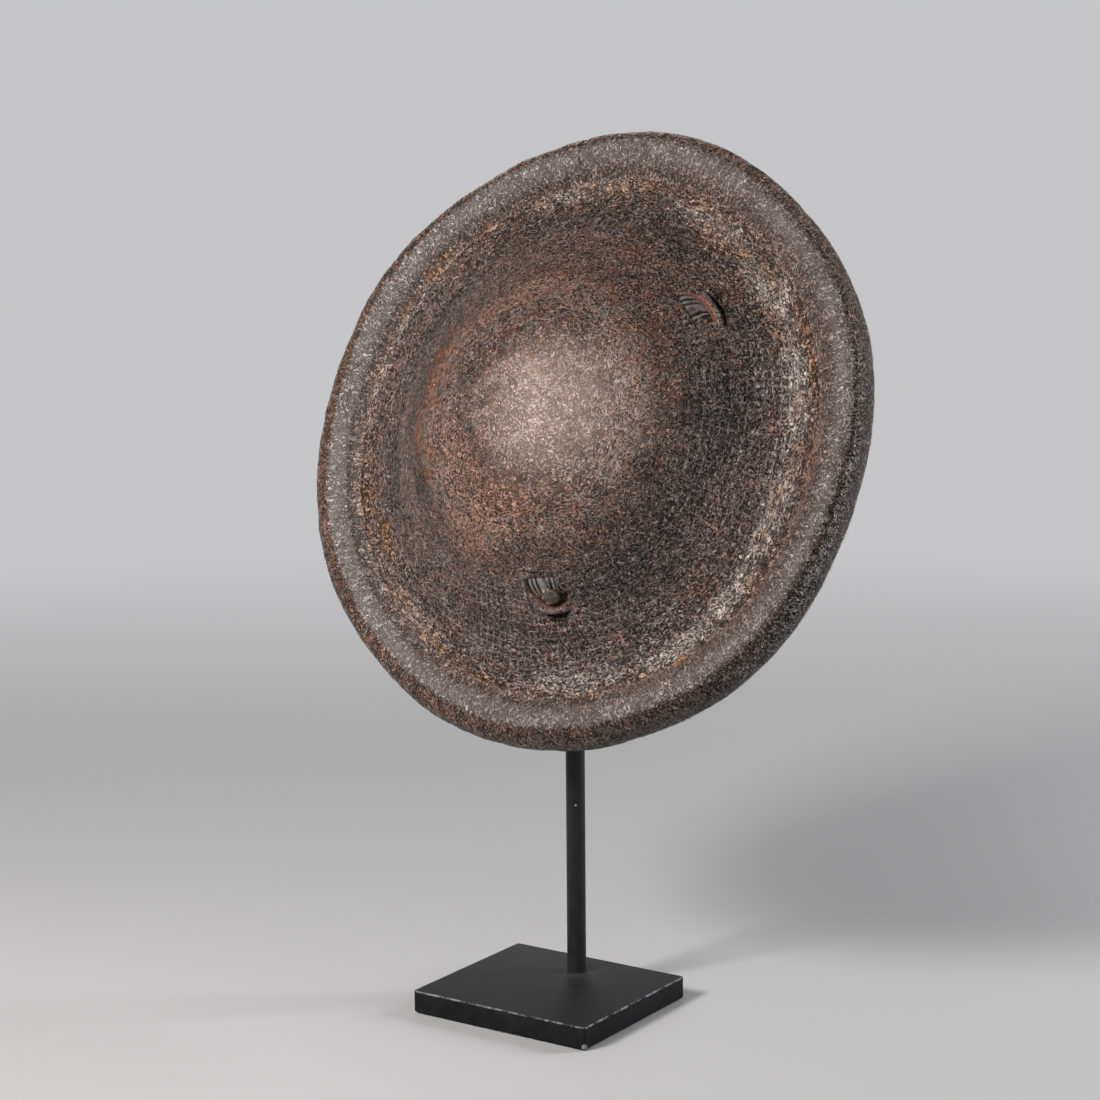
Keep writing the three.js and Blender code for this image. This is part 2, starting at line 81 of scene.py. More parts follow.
# Hide: section and outline, as in the solid
shield_radius = 262.6 * mm
hide_thickness = 7 * mm
dome_height = 105 * mm
dome_fullness_share = 1.25
roll_radius = 20 * mm
roll_setback = 9 * mm
groove_radius = 11 * mm
lip_angle = -65 * degree
lip_round = 2.4 * mm
hide_facets = 64
out_of_round_shares = [
    (1, 0.0165, 165 * degree), (2, 0.007, -6 * degree), (3, 0.006, -55 * degree),
    (5, 0.0025, 12 * degree), (6, 0.0056, 23 * degree),
]

# Pose of the shield
post_place = 40.9 * mm
shield_setback = 6.5 * mm
shield_height_place = 473.6 * mm
shield_lean = 19.9 * degree

# Strap slots at the solid's places. The visual opening's outline is in shares of its length and width.
strap_slots = {
    "upper": {
        "radius": 152 * mm, "angle": 42 * degree, "length": 30 * mm, "width": 15 * mm,
        "slit_length": 40 * mm, "slit_sway_share": 0.08, "raw_share": 0.95,
        "outline_shares": [
            (-0.68, -0.64), (-0.60, 0.0), (-0.30, 0.46), (0.20, 0.54),
            (0.50, 0.44), (0.51, 0.05), (0.37, -0.5), (-0.1, -0.6),
        ],
    },
    "lower": {
        "radius": 142 * mm, "angle": -78.5 * degree, "length": 31 * mm, "width": 23 * mm,
        "slit_length": 27 * mm, "slit_sway_share": 0.02, "raw_share": 0.45,
        "outline_shares": [
            (0.55, -0.66), (-0.30, -0.60), (-0.34, -0.14), (-0.52, 0.10), (-0.40, 0.42),
            (-0.02, 0.62), (0.32, 0.42), (0.56, -0.05), (0.60, -0.36),
        ],
    },
}
recess_depth = 4.6 * mm
lip_depth = 1.2 * mm
cutter_top = 9 * mm
recess_draw = 0.4 * mm
slit_draw = 0.2 * mm
slot_height = 11 * mm
slot_reach = 30 * mm
sunk_reach = 4.2 * mm
bridge_width = 6 * mm
bridge_rise = 2.6 * mm
slit_width = 4.5 * mm
slit_depth = 5.6 * mm
slit_bow = 3.5 * mm

# Strap and grip
strap_width = 24 * mm
strap_thickness = 4 * mm
strap_bend = 12 * mm
tie_length = 8 * mm
tie_wall = 3.5 * mm
grip_bow = 12 * mm
grip_ramp = 54 * mm
wrap_length = 84 * mm
wrap_wall = 3 * mm

# Stand
felt_thickness = 1.6 * mm
felt_inset = 3 * mm
plate_width = 170 * mm
plate_depth = 152 * mm
plate_thickness = 18 * mm
plate_corner_radius = 3 * mm
plate_edge = 0.8 * mm
post_radius = 8 * mm
post_chamfer = 1 * mm
post_foot_chamfer = 0.3 * mm
screw_radius = 5 * mm
screw_head_radius = 8 * mm
screw_head_height = 9 * mm
screw_grip = 18 * mm
screw_socket_radius = 4 * mm
screw_socket_depth = 5 * mm
head_rise = 62.4 * mm
head_width = 24 * mm
head_height = 32 * mm
head_bore = 17 * mm
hook_spacing = 90 * mm
hook_rod_radius = 3 * mm
hook_run = 52 * mm
hook_bend = 11 * mm
hook_standout = 3 * mm
felt_wall = 1.3 * mm
hook_felt_length = 26 * mm
collar_wall = 6 * mm
collar_height = 14 * mm
stop_rod_radius = 3 * mm
stop_felt_wall = 2.5 * mm
stop_felt_length = 10 * mm
grub_radius = 3 * mm
grub_socket_radius = 1.5 * mm
grub_socket_depth = 3 * mm
grub_standout = 0.5 * mm
grub_chamfer = 0.4 * mm
rod_chamfer = 0.7 * mm
block_corner_radius = 0.8 * mm
block_edge = 0.7 * mm
sheet_edge = 0.5 * mm
cap_edge = 0.4 * mm
cap_round = 0.8 * mm

# Rows of the hide's mesh
dome_points = 500
groove_points = 60
roll_points = 300
dome_row = 2.2 * mm
rim_row = 1.5 * mm
back_row = 4.5 * mm
ring_counts = (180, 360, 720, 1440)
ring_reach_shares = (0.18, 0.42, 0.79, 1.1)
inner_row_share = 1.6
lip_rows = 6

# Relief of the hide
net_pitch = 6.7 * mm
net_reach = 186 * mm
crimp_pitch = 4.7 * mm
crimp_height = 0.16 * mm
crimp_lean = 26 * mm
crimp_wander = 15 * mm
crimp_cloud = 13 * mm
net_cloud = 18 * mm
dome_edge_radii = (232 * mm, 214 * mm)
streak_radii = (100 * mm, 150 * mm)
calm_radius = 80 * mm
net_start_radii = (118 * mm, 140 * mm)
net_end_radii = (220 * mm, 206 * mm)
outer_crease_depth = 0.7 * mm
outer_crease_width = 2 * mm
streak_shares = (1, 0.22, 0.22)
long_streak_shares = (1, 0.3, 0.3)
across_shares = (0.3, 1, 1)
crimp_shares = (0.35, 1, 1)
slot_contact_reaches = (40 * mm, 20 * mm)
back_relief_share = 0.8
relief_height = 14 * mm
swell_height = 0.8 * mm
swell_reach = 1.8 * mm
swell_width = 2.2 * mm
lip_drop = 0.9 * mm
lip_drop_reach = 0.55 * mm
slit_drop = 1.2 * mm
slit_drop_reach = 0.8 * mm
sunk_depth = 2.6 * mm
stretch_height = 0.3 * mm
stretch_length = 1.9 * mm
stretch_reach = 4 * mm
stretch_wander = 6 * mm

# Strap, ties, wrap and hairs in the mesh
end_reach_share = 0.6
pleat_count = 8
strap_step = 0.9 * mm
strap_sides = 120
strap_end_gap = 0.6 * mm
bend_steps = 4
grip_steps = 8
soft_reaches = (1 * mm, 26 * mm)
tip_step = 0.5 * mm
tip_sides = 40
tie_turns = 4
tie_thong_radius = 1.05 * mm
tie_steps = 48
hitch_step = 0.6 * mm
wrap_turns = 9
wrap_sides = 96
wrap_rows = 190
wrap_lap = 0.9 * mm
wrap_edge_drop = 0.7 * mm
wrap_softness = 0.1 * mm
wrap_draw = 1.1 * mm
wrap_draw_reach = 0.8 * mm
hair_count = 420
hair_radius = 0.11 * mm
hair_lengths = (3.5 * mm, 11 * mm)
hair_root = 0.3 * mm
hair_steps = 5

# Wear of the materials
lump_bump = 0.35 * mm
grain_bump = 2.0 * mm
leather_bump = 0.35 * mm
peel_bump = 0.05 * mm
fibre_bump = 0.3 * mm
round_stretch = (1.0, 0.62, 0.62)
crimp_stretch = (0.55, 1.0, 1.0)
streak_stretch = (1.0, 0.25, 0.25)
turning_stretch = (1.0, 1.0, 6.0)
post_chip_shake = 1 * mm
post_chip_reach = (1.6 * mm, 1.2 * mm)
plate_chip_shake = 3 * mm
plate_chip_reach = (4.4 * mm, 3.2 * mm)
rub_reach = (1.5 * mm, 0.5 * mm)
corner_reach = (3.4 * mm, 1.8 * mm)
dust_reach = (62 * mm, 10 * mm)
dust_depth = (0.4 * mm, 0.1 * mm)

# Masks on the hide
slot_patch = 25 * mm
slot_patch_place = 5 * mm
slot_patch_height = 5 * mm
floor_depths = (-1.2 * mm, -2.4 * mm)
raw_reach = (2.4 * mm, 0.8 * mm)
raw_side = (-9 * mm, -2 * mm)
raw_depths = (-2.6 * mm, -0.9 * mm)
bar_reach = 2.6 * mm
bar_rise = (0.2 * mm, 1.4 * mm)
# The bald apex: worn and paler, with its middle where the key light's highlight falls, so its pale tone is
# also a painted highlight
worn_highlight_place = (38 * mm, 2 * mm)
bald_highlight_reach = (88 * mm, 8 * mm)
smooth_reach = (105 * mm, 30 * mm)
middle_radii = (45 * mm, 20 * mm)
foot_radii = (78 * mm, 122 * mm)
rim_start_radius = 217.5 * mm
rim_start_shift = 4 * mm
rim_start_shake = 1.2 * mm
crest_cloud = 14 * mm
shake_sizes = (9 * mm, 4 * mm)
bald_highlight_shake = 10 * mm
inner_reach = 85 * mm

# Stand in the mesh
post_rows = 24
cap_rows = 12
cap_roughness_start = 0.1 * mm
cap_roughness_height = 0.5 * mm
cap_draw = 0.05 * mm
fork_step = 2.5 * mm

# Floor and background
background_colour = (0.56, 0.56, 0.57)
ceiling_colour = (0.10, 0.10, 0.10)
ceiling_heights = (0.17, 0.46)
ambient_colour = (0.10, 0.10, 0.104)
floor_colour = (0.58, 0.58, 0.59)
floor_bounce_colour = (0.22, 0.22, 0.22)
floor_reach = 20.0
floor_fade = (0.5, 2.6)
light_aim = (0, 0, 0.47)

plate_top = felt_thickness + plate_thickness
post_top = shield_height_place + head_rise
shield_frame = (
    Matrix.Translation((0, post_place + shield_setback, shield_height_place))
    @ Matrix.Rotation(math.pi / 2 - shield_lean, 4, "X")
)


# Noise and masks on arrays of points

def noise(points, size, seed):
    """Smooth noise from about -1 to 1, with lumps of about the given size"""
    place = points / size + seed * 17.31
    cell = np.floor(place).astype(np.int64)
    part = place - cell
    fade = part**3 * (part * (part * 6 - 15) + 10)
    total = np.zeros(len(points))
    for corner in itertools.product((0, 1), repeat=3):
        x, y, z = (cell + corner).T
        code = (x * 374761393 + y * 668265263 + z * 1274126177 + seed * 69069) & 0xFFFFFFFF
        code = ((code ^ (code >> 13)) * 1103515245) & 0xFFFFFFFF
        code = ((code ^ (code >> 15)) * 2246822519) & 0xFFFFFFFF
        slopes = np.stack([(code >> shift & 0xFF) / 127.5 - 1 for shift in (3, 11, 19)], 1)
        weight = np.prod(np.where(corner, fade, 1 - fade), axis=1)
        total += weight * (slopes * (part - corner)).sum(1)
    return total * 1.4


def step_between(low, high, values):
    """0 at low and 1 at high, with smooth ends; low may be the larger"""
    share = np.clip((values - low) / (high - low), 0, 1)
    return share * share * (3 - 2 * share)


def hump(values, middle, reach):
    return np.exp(-(((values - middle) / reach) ** 2))


# Section of the hide

roll_centre = (shield_radius - roll_radius, -roll_setback)
groove_reach = math.sqrt((groove_radius + roll_radius) ** 2 - (roll_setback + groove_radius) ** 2)
groove_centre = (roll_centre[0] - groove_reach, groove_radius)
valley_radius = groove_centre[0]
meet_angle = math.atan2(-roll_setback - groove_radius, groove_reach)


def dome_front(radius):
    return dome_height / 2 * (1 + np.cos(math.pi * (radius / valley_radius) ** dome_fullness_share))


def dome_slope(radius):
    share = radius / valley_radius
    turn_rate = math.pi * dome_fullness_share * share ** (dome_fullness_share - 1) / valley_radius
    return -dome_height / 2 * np.sin(math.pi * share**dome_fullness_share) * turn_rate


def out_of_round(angle):
    return 1 + sum(share * np.cos(lobes * (angle - peak)) for lobes, share, peak in out_of_round_shares)


def settle_share(radius, angle):
    return 1 + (out_of_round(angle) - 1) * radius / shield_radius


def section_arc(centre, radius, turn, side, roll_angle):
    """Points of an arc, with normals that look out of it or, with side -1, into it"""
    out, up = np.cos(turn), np.sin(turn)
    return np.stack([centre[0] + radius * out, centre[1] + radius * up, side * out, side * up, roll_angle])


def section_line():
    """The front of the section from the middle to the lip: radius, height, normal, roll angle and length"""
    radius = np.linspace(0, valley_radius, dome_points, endpoint=False)
    tilt = np.arctan(-dome_slope(radius))
    dome = np.stack([radius, dome_front(radius), np.sin(tilt), np.cos(tilt), np.full(dome_points, math.pi)])
    turn = np.linspace(-math.pi / 2, meet_angle, groove_points, endpoint=False)
    groove = section_arc(groove_centre, groove_radius, turn, -1, np.full(groove_points, math.pi))
    turn = np.linspace(meet_angle + math.pi, lip_angle, roll_points)
    line = np.hstack([dome, groove, section_arc(roll_centre, roll_radius, turn, 1, turn)])
    length = np.concatenate([[0], np.cumsum(np.hypot(*np.diff(line[:2], axis=1)))])
    return line, length


line, line_length = section_line()
valley_length = float(np.interp(valley_radius, line[0, :dome_points], line_length[:dome_points]))
lip_length = float(line_length[-1])


def section_rows():
    """Rows from the middle of the front, round the lip, to the middle of the back: path place and depth"""
    front = list(np.arange(dome_row, valley_length, dome_row))
    lip_start = lip_length - lip_round
    front += list(np.linspace(valley_length, lip_start, round((lip_start - valley_length) / rim_row)))
    rows = [(place, 0.0) for place in front]
    for i in range(1, lip_rows):
        turn = math.pi * i / lip_rows
        rows.append((lip_start + lip_round * math.sin(turn), hide_thickness / 2 * (1 - math.cos(turn))))
    inner_rows = round((lip_start - valley_length) / back_row * inner_row_share)
    back = list(np.linspace(lip_start, valley_length, inner_rows))
    back += list(np.arange(valley_length - back_row, back_row, -back_row))
    return rows + [(place, hide_thickness) for place in back]


def ring_count(place, depth):
    radius = np.interp(place, line_length, line[0])
    for count, share in zip(ring_counts, ring_reach_shares):
        if radius < share * shield_radius:
            break
    if depth == hide_thickness:
        return min(count, ring_counts[2])
    return count


def section_places(place, depth, angle):
    """Points of the hide in the shield's own frame, with their outward normals"""
    radius, height, out, up = (np.interp(place, line_length, row) for row in line[:4])
    radius = radius - depth * out
    height = height - depth * up
    settled = radius * settle_share(radius, angle)
    points = np.stack([settled * np.cos(angle), settled * np.sin(angle), height], 1)
    normals = np.stack([out * np.cos(angle), out * np.sin(angle), up], 1)
    return points, normals


def hide_rings():
    """Path place, depth and angle of every vertex, and the faces between the rings"""
    rows = section_rows()
    data = [(0.0, 0.0, 0.0)]
    faces = []
    before, before_count = 0, 1
    for place, depth in rows:
        count = ring_count(place, depth)
        start = len(data)
        data += [(place, depth, math.tau * k / count) for k in range(count)]
        faces += ring_faces(before, before_count, start, count)
        before, before_count = start, count
    data.append((0.0, hide_thickness, 0.0))
    faces += ring_faces(before, before_count, len(data) - 1, 1)
    return np.array(data), faces


def ring_faces(first, first_count, second, second_count):
    """Faces from one ring to the next, whose count is the same, twice or half as large, or one"""
    if first_count == 1:
        return [(first, second + k, second + (k + 1) % second_count) for k in range(second_count)]
    if second_count == 1:
        return [(first + k, second, first + (k + 1) % first_count) for k in range(first_count)]
    faces = []
    if first_count == second_count:
        for k in range(first_count):
            n = (k + 1) % first_count
            faces.append((first + k, second + k, second + n, first + n))
        return faces
    grows = second_count > first_count
    few, many = (first, second) if grows else (second, first)
    few_count, many_count = min(first_count, second_count), max(first_count, second_count)
    for k in range(few_count):
        a, b = few + k, few + (k + 1) % few_count
        c, d, e = (many + (2 * k + i) % many_count for i in range(3))
        fan = [(a, c, d), (a, d, b), (b, d, e)]
        faces += fan if grows else [tuple(reversed(face)) for face in fan]
    return faces


# Strap slots: frames, outlines and distances

def slot_matrix(slot):
    """The slot's frame on the hide's front: X along the slot, Y down the slope to the rim, Z out"""
    tilt = math.atan(-dome_slope(slot["radius"]))
    outward = Vector((math.cos(slot["angle"]), math.sin(slot["angle"]), 0))
    along = Vector((math.sin(slot["angle"]), -math.cos(slot["angle"]), 0))
    slope = outward * math.cos(tilt) - Vector((0, 0, math.sin(tilt)))
    normal = outward * math.sin(tilt) + Vector((0, 0, math.cos(tilt)))
    reach = slot["radius"] * settle_share(slot["radius"], slot["angle"])
    origin = outward * reach + Vector((0, 0, dome_front(slot["radius"])))
    return Matrix.Translation(origin) @ Matrix((along, slope, normal)).transposed().to_4x4()


def bend_point(before, corner, after, share):
    """A point on the curve that rounds a corner off from before it to after it"""
    rest = 1 - share
    return before * rest**2 + corner * 2 * share * rest + after * share * share


def rounded_outline(corners, round_share, steps):
    """A closed outline. A curve from a share of the way along its sides rounds each corner off."""
    points = []
    for i, corner in enumerate(corners):
        corner = Vector(corner)
        before = corner.lerp(Vector(corners[i - 1]), round_share)
        after = corner.lerp(Vector(corners[(i + 1) % len(corners)]), round_share)
        points += [bend_point(before, corner, after, k / steps) for k in range(steps + 1)]
    return points


def opening_outline(slot):
    corners = [(x * slot["length"], y * slot["width"]) for x, y in slot["outline_shares"]]
    return rounded_outline(corners, 0.22, 5)


def shank_outline():
    x, y = strap_width / 2 + fit_gap, strap_thickness / 2 + fit_gap
    return [Vector((-x, -y)), Vector((x, -y)), Vector((x, y)), Vector((-x, y))]


def slit_outline(slot, steps=14):
    near = slot["width"] / 2 + bridge_width
    half = slot["slit_length"] / 2
    sway = slot["slit_sway_share"] * slot["slit_length"]
    shares = [k / steps for k in range(steps + 1)]
    bows = [(t, slit_bow) for t in shares]
    bows += [(t, slit_bow + 2 * slit_width) for t in reversed(shares[1:-1])]
    return [Vector((sway - half + 2 * half * t, near + 2 * t * (1 - t) * bow)) for t, bow in bows]


def segment_distance(points, a, b):
    """Distance of each point to a segment, and the share of the segment at its nearest point"""
    way = b - a
    share = np.clip((points - a) @ way / (way @ way), 0, 1)
    return np.linalg.norm(points - a - share[:, None] * way, axis=1), share


def outline_distance(points, outline):
    """Distance of each (x, y) point to a closed outline, negative inside"""
    ends = np.array([(p[0], p[1]) for p in outline])
    best = np.full(len(points), np.inf)
    inside = np.zeros(len(points), bool)
    for a, b in zip(ends, np.roll(ends, -1, axis=0)):
        best = np.minimum(best, segment_distance(points, a, b)[0])
        crosses = (a[1] > points[:, 1]) != (b[1] > points[:, 1])
        rise = b[1] - a[1]
        reach = a[0] + (points[:, 1] - a[1]) / (rise if abs(rise) > tiny else tiny) * (b - a)[0]
        inside ^= crosses & (points[:, 0] < reach)
    return np.where(inside, -best, best)


def in_slot(points, slot):
    """Points of the shield's frame in the slot's frame"""
    inverse = np.array(slot_matrix(slot).inverted())
    return points @ inverse[:3, :3].T + inverse[:3, 3]


def slit_share(place, slot, reach_share):
    """1 at the slit's middle, falling to 0 at a share of its length to either side"""
    away = place[:, 0] / slot["slit_length"] - slot["slit_sway_share"]
    return np.clip(1 - (away / reach_share) ** 2, 0, 1)


def near_slot(place):
    return (np.abs(place[:, 2]) < slot_height) & (np.hypot(place[:, 0], place[:, 1]) < slot_reach)


def past_slit(slot):
    """How far the sunk skin past the slit lies from the slot's middle"""
    return slot["width"] / 2 + bridge_width + slit_width + slit_bow


# Relief of the hide, in metres along its normal


# Short creases across the rim: place round the shield in degrees, depth and width in mm
rim_creases = [
    (100.3, 1.6, 2.0), (62.0, 0.7, 2.2), (23.0, 0.8, 2.6), (-31.0, 1.1, 2.4), (-47.0, 0.6, 2.0),
    (-95.0, 0.9, 2.5), (-128.0, 0.8, 2.2), (-152.0, 1.0, 2.6), (171.0, 0.9, 2.2), (148.0, 0.6, 2.4),
    (122.0, 0.8, 2.0),
]

# Where the hooks and the stop meet the hide: x, y and reach in mm
contact_places = [(-45, 236, 46), (45, 236, 46), (0, -250, 30)]

# Layers of relief and wandering: height and lump size in mm, and the noise's seed
layers = {
    "dents": (1.25, 64, 1), "small_dents": (0.75, 25, 2), "pebbles": (0.26, 5.2, 11),
    "small_pebbles": (0.17, 3.0, 12), "streaks": (0.40, 3.4, 13), "swells": (0.42, 11, 14),
    "long_streaks": (0.35, 9, 24),
    "crest_wrinkles": (0.26, 5.5, 19), "crest_swells": (0.55, 17, 25), "crease_wander": (1.2, 12, 20),
    "outer_wander": (1.5, 20, 26), "back_lumps": (0.35, 9, 21), "small_back_lumps": (0.22, 4.5, 22),
    "back_streaks": (0.35, 8, 23), "strap": (0.14, 5, 51), "small_strap": (0.08, 2.2, 52),
    "tip": (0.9, 2.8, 53), "small_tip": (0.55, 1.4, 54), "wrap": (0.12, 4, 55), "felt": (0.10, 2.2, 61),
    "ragged_lip": (1.5, 3.5, 43),
}


def layer(name, points, shares=(1, 1, 1)):
    """One layer on points, drawn out where a share is under 1"""
    height, size, seed = layers[name]
    return height * mm * noise(points * shares, size * mm, seed)


def contact_share(points):
    """1 where the hide touches the hooks, the stop or the strap, falling to 0 away from them"""
    share = np.zeros(len(points))
    for x, y, reach in contact_places:
        distance = np.hypot(points[:, 0] - x * mm, points[:, 1] - y * mm)
        share = np.maximum(share, step_between(reach * mm, reach * mm / 2, distance))
    for slot in strap_slots.values():
        distance = np.hypot(*in_slot(points, slot).T[:2])
        share = np.maximum(share, step_between(*slot_contact_reaches, distance))
    return share


def polar_places(place, angle, reach=185 * mm):
    """Seamless coordinates along the section and round the shield, with true lengths at one radius"""
    return np.stack([place, reach * np.cos(angle), reach * np.sin(angle)], 1)


def outer_crease_angle(angle):
    """Roll angle of the crease between the rim's crest, which has a painted highlight, and its dark outer
    band
    """
    return (70 - 20 * np.cos(angle) - 8 * np.sin(angle)) * degree


def outer_crease_share(points, angle, roll_angle):
    """The crease itself, clearest on the right"""
    away = (roll_angle - outer_crease_angle(angle)) * roll_radius + layer("outer_wander", points)
    return np.clip(np.cos(angle + 10 * degree) + 0.45, 0, 1) * hump(away, 0, outer_crease_width)


def angle_from(angle, turn):
    """The way round from a turn in degrees, from minus half a turn to half a turn"""
    return (angle - turn * degree + math.pi) % math.tau - math.pi


def crest_band(roll_angle):
    """The part of the roll that crimps and short creases cover"""
    start = step_between(139 * degree, 112 * degree, roll_angle)
    return start * step_between(-45 * degree, 10 * degree, roll_angle)


def rim_crease_depths(points, angle, radius, roll_angle):
    """The depth in mm of each short crease across the rim"""
    wander = layer("crease_wander", points)
    for turn, depth, width in rim_creases:
        away = angle_from(angle, turn) * radius + wander
        yield depth * crest_band(roll_angle) * hump(away, 0, width * mm / 2)


def front_relief(points, place, angle, roll_angle):
    polar = polar_places(place, angle)
    radius = np.interp(place, line_length, line[0])
    on_dome = step_between(*dome_edge_radii, radius)
    streaky = on_dome * step_between(*streak_radii, radius)
    calm = 1 - 0.55 * hump(radius, 0, calm_radius)
    pebbles = layer("pebbles", points) + layer("small_pebbles", points)
    relief = calm * (pebbles + on_dome * layer("swells", points))
    streaks = layer("streaks", polar, streak_shares)
    relief += streaky * (streaks + layer("long_streaks", polar, long_streak_shares))

    waves = round(math.tau * shield_radius / crimp_pitch)
    drift = 2.6 * noise(polar * crimp_shares, crimp_wander, 17) + (place - lip_length) / crimp_lean
    crimps = crimp_height * np.sin(waves * angle + drift) * (0.55 + 0.6 * noise(polar, crimp_cloud, 18))
    crimps += layer("crest_wrinkles", polar, across_shares) + layer("crest_swells", points)
    relief += crest_band(roll_angle) * crimps
    relief -= outer_crease_depth * outer_crease_share(points, angle, roll_angle)
    return relief - mm * sum(rim_crease_depths(points, angle, radius, roll_angle))


def net_amount(points, place, angle):
    """The net's imprint: a band on the dome's foot with bald places, clearest below and on the right"""
    radius = np.interp(place, line_length, line[0])
    band = step_between(*net_start_radii, radius) * step_between(*net_end_radii, radius)
    turn = np.degrees(angle)
    sides = 1.2 * hump(turn, -84, 30) + 1.1 * hump(turn, 4, 32) + 0.45 * hump(np.abs(turn), 165, 34) + 0.2
    return band * np.clip(sides, 0, 1) * np.clip(0.75 + 0.6 * noise(points, net_cloud, 16), 0, 1)


# Single creases: both ends, width and depth in mm
crease_ends = [
    ((108, -138), (122, -127), 0.9, 0.7), ((149, 24), (160, 21), 0.8, 0.7),
    ((96, -150), (84, -158), 0.7, 0.5),
]


def crease_relief(points):
    """Single dark creases in the dome's flank, from one point to another"""
    relief = np.zeros(len(points))
    for start, end, width, depth in crease_ends:
        distance, share = segment_distance(points[:, :2], np.array(start) * mm, np.array(end) * mm)
        relief -= depth * mm * hump(distance, 0, width * mm) * (4 * share * (1 - share) + 0.2)
    return relief


def slot_relief(points, slot):
    """The raised bridge, the swollen rim round the opening and the sunk skin past the slit"""
    place = in_slot(points, slot)
    x, y = place[:, 0], place[:, 1]
    opening = outline_distance(place[:, :2], opening_outline(slot))
    slit = outline_distance(place[:, :2], slit_outline(slot))
    t = np.clip(x / slot["slit_length"] - slot["slit_sway_share"] + 0.5, 0, 1)
    middle = slot["width"] / 2 + bridge_width / 2 + t * (1 - t) * slit_bow
    along = slit_share(place, slot, 0.56)
    relief = bridge_rise * along * np.exp(-(((y - middle) / (bridge_width * 0.52)) ** 4))
    relief += swell_height * hump(opening, swell_reach, swell_width)
    relief -= lip_drop * np.exp(-np.clip(opening, 0, None) / lip_drop_reach)
    relief -= slit_drop * np.exp(-np.clip(slit, 0, None) / slit_drop_reach)
    relief -= sunk_depth * along * hump(y, past_slit(slot), sunk_reach)
    stretch = np.sin(x / stretch_length + 2 * noise(points, stretch_wander, 31))
    stretch = stretch * hump(opening, stretch_reach, stretch_reach)
    return np.where(np.abs(place[:, 2]) < relief_height, relief + stretch_height * stretch, 0)


def back_relief(points, place, angle):
    relief = layer("back_lumps", points) + layer("small_back_lumps", points)
    return relief + layer("back_streaks", polar_places(place, angle), across_shares)


def hide_places(data):
    """Final place of every vertex from its path place, depth and angle"""
    place, depth, angle = data.T
    points, normals = section_places(place, depth, angle)
    roll_angle = np.interp(place, line_length, line[4])
    away = 1 - contact_share(points)
    core = section_places(place, np.zeros(len(place)), angle)[0]
    dents = layer("dents", core) + layer("small_dents", core)
    front = 1 - depth / hide_thickness
    relief = front_relief(points, place, angle, roll_angle) + crease_relief(points)
    for slot in strap_slots.values():
        relief += slot_relief(points, slot)
    keep = np.where(roll_angle < 20 * degree, away, 1)
    outward = dents * away * (2 * front - 1) + relief * front * keep
    outward += back_relief(points, place, angle) * (1 - front) * away * back_relief_share
    return points + normals * outward[:, None]


# Meshes and pieces

def new_object(name, places, faces, matrix=None):
    mesh = bpy.data.meshes.new(name)
    mesh.from_pydata([tuple(p) for p in places], [], faces)
    mesh.update()
    obj = add_to_scene(name, mesh)
    if matrix is not None:
        mesh.transform(matrix)
    return obj


def shade(obj, sharp=40 * degree):
    obj.data.shade_smooth()
    obj.data.set_sharp_from_angle(angle=sharp)


def applied(obj):
    """Applies the object's modifiers to its mesh"""
    graph = bpy.context.evaluated_depsgraph_get()
    mesh = bpy.data.meshes.new_from_object(obj.evaluated_get(graph))
    obj.modifiers.clear()
    old = obj.data
    obj.data = mesh
    bpy.data.meshes.remove(old)


def cut_away(obj, cutters):
    for cutter in cutters:
        modifier = obj.modifiers.new("cut", "BOOLEAN")
        modifier.operation = "DIFFERENCE"
        modifier.solver = "EXACT"
        modifier.object = cutter
    applied(obj)
    for cutter in cutters:
        bpy.data.objects.remove(cutter)


def join_objects(objects, name):
    mesh = bmesh.new()
    for obj in objects:
        mesh.from_mesh(obj.data)
    joined = bpy.data.meshes.new(name)
    mesh.to_mesh(joined)
    mesh.free()
    for obj in objects:
        bpy.data.objects.remove(obj)
    return add_to_scene(name, joined)


def turn_outward(obj):
    mesh = bmesh.new()
    mesh.from_mesh(obj.data)
    bmesh.ops.recalc_face_normals(mesh, faces=mesh.faces)
    mesh.to_mesh(obj.data)
    mesh.free()
    return obj


def ring_skin(name, rings):
    """A closed skin over rings of as many points each, with flat ends"""
    count = len(rings[0])
    last = (len(rings) - 1) * count
    faces = [tuple(reversed(range(count))), tuple(range(last, last + count))]
    for start in range(0, last, count):
        for k in range(count):
            a, b = start + k, start + (k + 1) % count
            faces.append((a, b, b + count, a + count))
    return turn_outward(new_object(name, [point for ring in rings for point in ring], faces))


def prism(name, outline, levels):
    """A block over an outline of (x, y) points, from levels of a height and how far it is drawn in there"""
    outline = [Vector((p[0], p[1])) for p in outline]
    middle = sum(outline, Vector((0, 0))) / len(outline)
    rings = []
    for height, draw in levels:
        drawn = [point - (point - middle).normalized() * draw for point in outline]
        rings.append([(point.x, point.y, height) for point in drawn])
    return ring_skin(name, rings)


def turned(name, outline, segments=64, matrix=None):
    """A solid of revolution about Z. Its outline of (radius, height) ends on the axis or is closed."""
    closed = outline[0] == outline[-1]
    points = outline[:-1] if closed else outline
    places, rows = [], []
    for radius, height in points:
        start = len(places)
        if radius == 0:
            places.append((0, 0, height))
            rows.append([start] * segments)
            continue
        for k in range(segments):
            turn = math.tau * k / segments
            places.append((radius * math.cos(turn), radius * math.sin(turn), height))
        rows.append(list(range(start, start + segments)))
    faces = []
    pairs = list(zip(rows, rows[1:])) + ([(rows[-1], rows[0])] if closed else [])
    for low, high in pairs:
        for k in range(segments):
            n = (k + 1) % segments
            face = []
            for corner in (low[k], low[n], high[n], high[k]):
                if corner not in face:
                    face.append(corner)
            if len(face) > 2:
                faces.append(tuple(face))
    obj = turn_outward(new_object(name, places, faces))
    if matrix is not None:
        obj.data.transform(matrix)
    return obj


